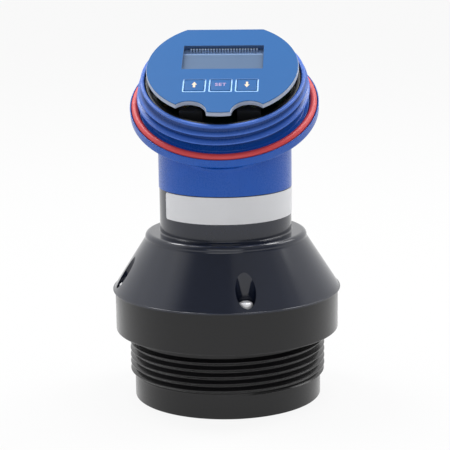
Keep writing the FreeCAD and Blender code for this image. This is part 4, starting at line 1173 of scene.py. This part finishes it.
class TRANSMITTER_OT_keys(bpy.types.Operator):
    """Keys: three caps with their arrows and word"""
    bl_idname = "transmitter.keys"
    bl_label = "Keys"

    def execute(self, context):
        panel = sizes("panel_sizes")
        edge, corner = 0.25 * MM, 0.6 * MM
        foot_depth, foot_extra, foot_corner = 1.0 * MM, 1.8 * MM, 0.4 * MM
        low = panel.plate_low
        sides = np.vstack(([(0, low)], top_edge(edge, panel.key_top, 5) * (-1, 1)))
        for name, x in key_places().items():
            cap = raised(key_outline(x, corner), sides)
            foot = raised(key_outline(x, foot_corner, deeper=foot_extra), [(0, low - foot_depth), (0, low)])
            caps = [[cap[-1]], [foot[0]], [foot[-1], cap[0]]]
            piece(f"{name}_cap", [cap, foot], [printed_film()], [name], KEY_BODIES[name],
                  caps=caps)
        self.print_arrow("key_up", 1)
        self.print_arrow("key_down", -1)
        self.print_word()
        return {"FINISHED"}

    def print_arrow(self, key, way):
        """A flat arrow: a stem of even width, then a head that narrows evenly to the tip."""
        panel = sizes("panel_sizes")
        half_length, stem, head, tip = 1.95 * MM, 0.5 * MM, 1.2 * MM, 0.02 * MM
        gap, thickness = 0.005 * MM, 0.03 * MM
        half = np.array((stem, stem, head, tip))
        y = panel.print_lift - panel.key_y + way * np.array((-half_length, 0, 0, half_length))
        sides = np.stack((key_places()[key] - half, key_places()[key] + half), axis=1)
        low = np.stack((sides, np.stack((y, y), axis=1), np.full(sides.shape, panel.key_top + gap)), axis=-1)
        high = low + np.array((0, 0, thickness))
        loop = np.stack((low[:, 0], high[:, 0], high[:, 1], low[:, 1]), axis=1)
        patches = [in_head(grid) for grid in (loop, ring_pole(loop[0]), ring_pole(loop[-1]))]
        material = plain_finish("arrow_print", colours().arrow, 0.4)
        piece(f"{key}_arrow", patches, [material], body=KEY_BODIES[key])

    def print_word(self):
        """The word on the middle key, laid flat on the cap."""
        panel = sizes("panel_sizes")
        text = bpy.data.curves.new("key_set_word", "FONT")
        text.body = "SET"
        text.size = 2.9 * MM
        text.align_x = "CENTER"
        text.align_y = "CENTER"
        text.space_character = 1.12
        text.extrude = 0.015 * MM
        text.offset = 0.05 * MM
        holder = placed("key_set_word_curve", text)
        mesh = bpy.data.meshes.new_from_object(holder)
        bpy.data.objects.remove(holder)
        points = np.empty(len(mesh.vertices) * 3, dtype=np.float32)
        mesh.vertices.foreach_get("co", points)
        gap = 0.02 * MM
        middle = np.array((0, panel.print_lift - panel.key_y, panel.key_top + gap))
        points = in_head(points.reshape(-1, 3).astype(float) + middle)
        mesh.vertices.foreach_set("co", points.astype(np.float32).reshape(-1))
        mesh.materials.clear()
        mesh.materials.append(plain_finish("word_print", colours().word, 0.4))
        made = placed("key_set_word", mesh)
        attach(made, "key_set_body")


class TRANSMITTER_OT_inside(bpy.types.Operator):
    """Inner pieces: finishes for the display, the boards, the terminals and the transducer"""
    bl_idname = "transmitter.inside"
    bl_label = "Inner pieces"

    def execute(self, context):
        tint = colours()
        brass = skin("plated_brass", tint.brass, 0.28, mottle=0.08, spread=0.14, grain=4200.0, Metallic=1.0)
        board = plain_finish("green_board", tint.board, 0.34)
        rubber = plain_finish("black_rubber", (0.01, 0.01, 0.01), 0.5)
        dark = plain_finish("component_case", (0.012, 0.012, 0.014), 0.42)
        finishes = {
            "matching_layer": plain_finish("cast_resin", (0.52, 0.47, 0.34), 0.5),
            "piezo_disc": plain_finish("fired_ceramic", (0.63, 0.56, 0.42), 0.55),
            "isolation_sleeve": plain_finish("soft_foam", (0.012, 0.012, 0.012), 0.7),
            "potting_fill": plain_finish("potting", (0.014, 0.014, 0.016), 0.3),
            "transducer_lead": plain_finish("lead_rubber", (0.03, 0.03, 0.032), 0.5),
            "base_seal_ring": rubber,
            "neck_seal_ring": rubber,
            "cup_screws": turned_steel(),
            "main_board": board,
            "display_board": board,
            "lead_connector": plain_finish("connector_nylon", (0.68, 0.66, 0.58), 0.45),
            "drive_transformer": dark,
            "drive_capacitors": dark,
            "control_chip": dark,
            "key_switches": dark,
            # painted light: the display frame is paler than its own colour, and the contacts partly so, to
            # make up for the shade of the window's walls
            "lcd_holder": plain_finish("display_frame_painted_light", (0.22, 0.31, 0.46), 0.5),
            "terminal_blocks": plain_finish("terminal_case", (0.012, 0.013, 0.015), 0.45),
            "terminal_screws": brass,
            "board_pillars": brass,
            "lcd_panel": display_glass(),
            "lcd_contacts": skin("tinned_contact_painted_light", (0.34, 0.42, 0.54), 0.45, mottle=0.08, grain=5200.0,
                                 Metallic=0.2),
        }
        for name, finish in finishes.items():
            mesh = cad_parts[name].data
            mesh.materials.clear()
            mesh.materials.append(finish)
        return {"FINISHED"}


class TRANSMITTER_OT_stage(bpy.types.Operator):
    """Stage: pale floor, soft boxes, white surround and the camera"""
    bl_idname = "transmitter.stage"
    bl_label = "Stage"

    def execute(self, context):
        self.lay_floor()
        self.surround()
        for name, x, y, z, wide, deep, power in (
            ("top_far_left", -0.50, 0.39, 0.90, 0.20, 0.26, 1.9),
            ("top_left", -0.25, 0.15, 0.90, 0.24, 0.26, 2.4),
            ("top_right", 0.165, 0.10, 0.90, 0.24, 0.26, 2.4),
            ("top_far_right", 0.47, 0.34, 0.90, 0.20, 0.26, 1.9),
            ("right_back", 0.87, 0.405, 0.78, 0.25, 0.60, 1.5),
            ("left_wall", -0.80, -0.14, 0.95, 1.10, 0.90, 0.3),
            ("left_panel", -0.80, -0.10, 0.95, 0.50, 0.80, 0.2),
            ("right_wall", 0.62, -0.43, 0.95, 0.90, 0.90, 0.6),
            ("front_low", 0.05, -1.30, 0.50, 1.20, 0.60, 3.2),
        ):
            self.lamp(name, (x, y, z), wide, deep, power)
        self.camera()
        return {"FINISHED"}

    def lay_floor(self):
        """A grey floor that is nearly white to the camera and in reflections."""
        half_side, grey, white_share = 6, 0.62, 0.9
        mesh = bpy.data.meshes.new("floor")
        side = np.linspace(-half_side, half_side, 2)
        x, y = np.meshgrid(side, side)
        points = np.stack((x, y, np.zeros_like(x)), axis=-1).reshape(-1, 3)
        mesh.from_pydata(points.tolist(), [], quads(2, 2, False).tolist())
        made = placed("floor", mesh)
        material = bpy.data.materials.new("pale_floor")
        material.use_nodes = True
        tree = material.node_tree
        principled = tree.nodes["Principled BSDF"]
        set_inputs(principled, Base_Color=(grey, grey, grey, 1), Roughness=0.9)
        glow = node(tree, "ShaderNodeEmission")
        path = node(tree, "ShaderNodeLightPath").outputs
        seen = maths(tree, "MAXIMUM", path["Is Camera Ray"], path["Is Glossy Ray"])
        seen = maths(tree, "MAXIMUM", seen, path["Is Transmission Ray"])
        mix = node(tree, "ShaderNodeMixShader")
        tree.links.new(maths(tree, "MULTIPLY", seen, white_share), mix.inputs["Fac"])
        tree.links.new(principled.outputs[0], mix.inputs[1])
        tree.links.new(glow.outputs[0], mix.inputs[2])
        tree.links.new(mix.outputs[0], tree.nodes["Material Output"].inputs["Surface"])
        mesh.materials.append(material)

    def surround(self):
        """A studio that is white behind the object and at its sides, and dim in front, for every ray."""
        front, level, lift = math.radians(14), 0.94, 0.35
        dim_start, dim_stop, dim = 0.1, 0.6, 0.22
        world = bpy.data.worlds.new("surround")
        bpy.context.scene.world = world
        world.use_nodes = True
        tree = world.node_tree
        back = tree.nodes["Background"]
        place = node(tree, "ShaderNodeTexCoord")
        facing = node(tree, "ShaderNodeVectorMath", operation="DOT_PRODUCT")
        tree.links.new(place.outputs["Generated"], facing.inputs[0])
        facing.inputs[1].default_value = (level * math.sin(front), -level * math.cos(front), lift)
        strength = ramp(tree, facing.outputs["Value"], dim_start, dim_stop, 1.0, dim)
        tree.links.new(strength, back.inputs["Strength"])
        set_inputs(back, Color=(1, 1, 1, 1))

    def lamp(self, name, place, wide, deep, power):
        """A soft box that faces the middle of the transmitter."""
        data = bpy.data.lights.new(name, "AREA")
        data.shape = "RECTANGLE"
        data.size = wide
        data.size_y = deep
        data.energy = power
        middle = np.array((0, 0, 0.09))
        away = unit(np.array(place) - middle)
        across = unit(np.cross((0, 1, 0), away))
        self.aim(placed(name, data), across, np.cross(away, across), away, place)

    def aim(self, made, *columns):
        """Places an object by its three axes and its origin."""
        made.matrix_world = Matrix(np.column_stack(columns).tolist() + [[0, 0, 0, 1]])

    def camera(self):
        """The photograph's view: a long lens from just right of the front, a little above the head."""
        photo_side, shift = 450, -0.75
        data = bpy.data.cameras.new("photo_view")
        data.lens = 128
        data.sensor_width = 36
        data.shift_x = shift / photo_side
        azimuth, pitch, roll = np.radians((3.85, 11.89, 0.80))
        place = (0.0474, -0.7048, 0.2264)
        right = np.array((math.cos(azimuth), math.sin(azimuth), 0))
        ahead = math.cos(pitch) * np.array((-math.sin(azimuth), math.cos(azimuth), -math.tan(pitch)))
        up = np.cross(right, ahead)
        turned_right = math.cos(roll) * right - math.sin(roll) * up
        turned_up = math.sin(roll) * right + math.cos(roll) * up
        made = placed("photo_view", data)
        self.aim(made, turned_right, turned_up, -ahead, place)
        bpy.context.scene.camera = made


class TRANSMITTER_PT_sidebar(bpy.types.Panel):
    bl_idname = "TRANSMITTER_PT_sidebar"
    bl_label = "Level transmitter"
    bl_space_type = "VIEW_3D"
    bl_region_type = "UI"
    bl_category = "Transmitter"

    def draw(self, context):
        for operator in OPERATORS:
            self.layout.operator(operator.bl_idname)
        for name, group in GROUPS.items():
            box = self.layout.box()
            box.label(text=group.__name__)
            for field in group.__annotations__:
                box.prop(getattr(context.scene, name), field)


GROUPS = {
    "base_sizes": BaseSizes,
    "cone_sizes": ConeSizes,
    "head_sizes": HeadSizes,
    "panel_sizes": PanelSizes,
    "transmitter_colours": Colours,
}
OPERATORS = (
    TRANSMITTER_OT_base,
    TRANSMITTER_OT_cone,
    TRANSMITTER_OT_screws,
    TRANSMITTER_OT_label,
    TRANSMITTER_OT_shell,
    TRANSMITTER_OT_seal,
    TRANSMITTER_OT_cup,
    TRANSMITTER_OT_plate,
    TRANSMITTER_OT_keys,
    TRANSMITTER_OT_inside,
    TRANSMITTER_OT_stage,
)


def register():
    for group in GROUPS.values():
        bpy.utils.register_class(group)
    for name, group in GROUPS.items():
        setattr(bpy.types.Scene, name, bpy.props.PointerProperty(type=group))
    for operator in OPERATORS:
        bpy.utils.register_class(operator)
    bpy.utils.register_class(TRANSMITTER_PT_sidebar)


def unregister():
    bpy.utils.unregister_class(TRANSMITTER_PT_sidebar)
    for operator in reversed(OPERATORS):
        bpy.utils.unregister_class(operator)
    for name in GROUPS:
        delattr(bpy.types.Scene, name)
    for group in reversed(list(GROUPS.values())):
        bpy.utils.unregister_class(group)


def main():
    register()
    bpy.context.scene.view_settings.view_transform = "Standard"
    bpy.ops.transmitter.base()
    bpy.ops.transmitter.cone()
    bpy.ops.transmitter.screws()
    bpy.ops.transmitter.label()
    bpy.ops.transmitter.shell()
    bpy.ops.transmitter.seal()
    bpy.ops.transmitter.cup()
    bpy.ops.transmitter.plate()
    bpy.ops.transmitter.keys()
    bpy.ops.transmitter.inside()
    bpy.ops.transmitter.stage()


if __name__ == "__main__":
    main()
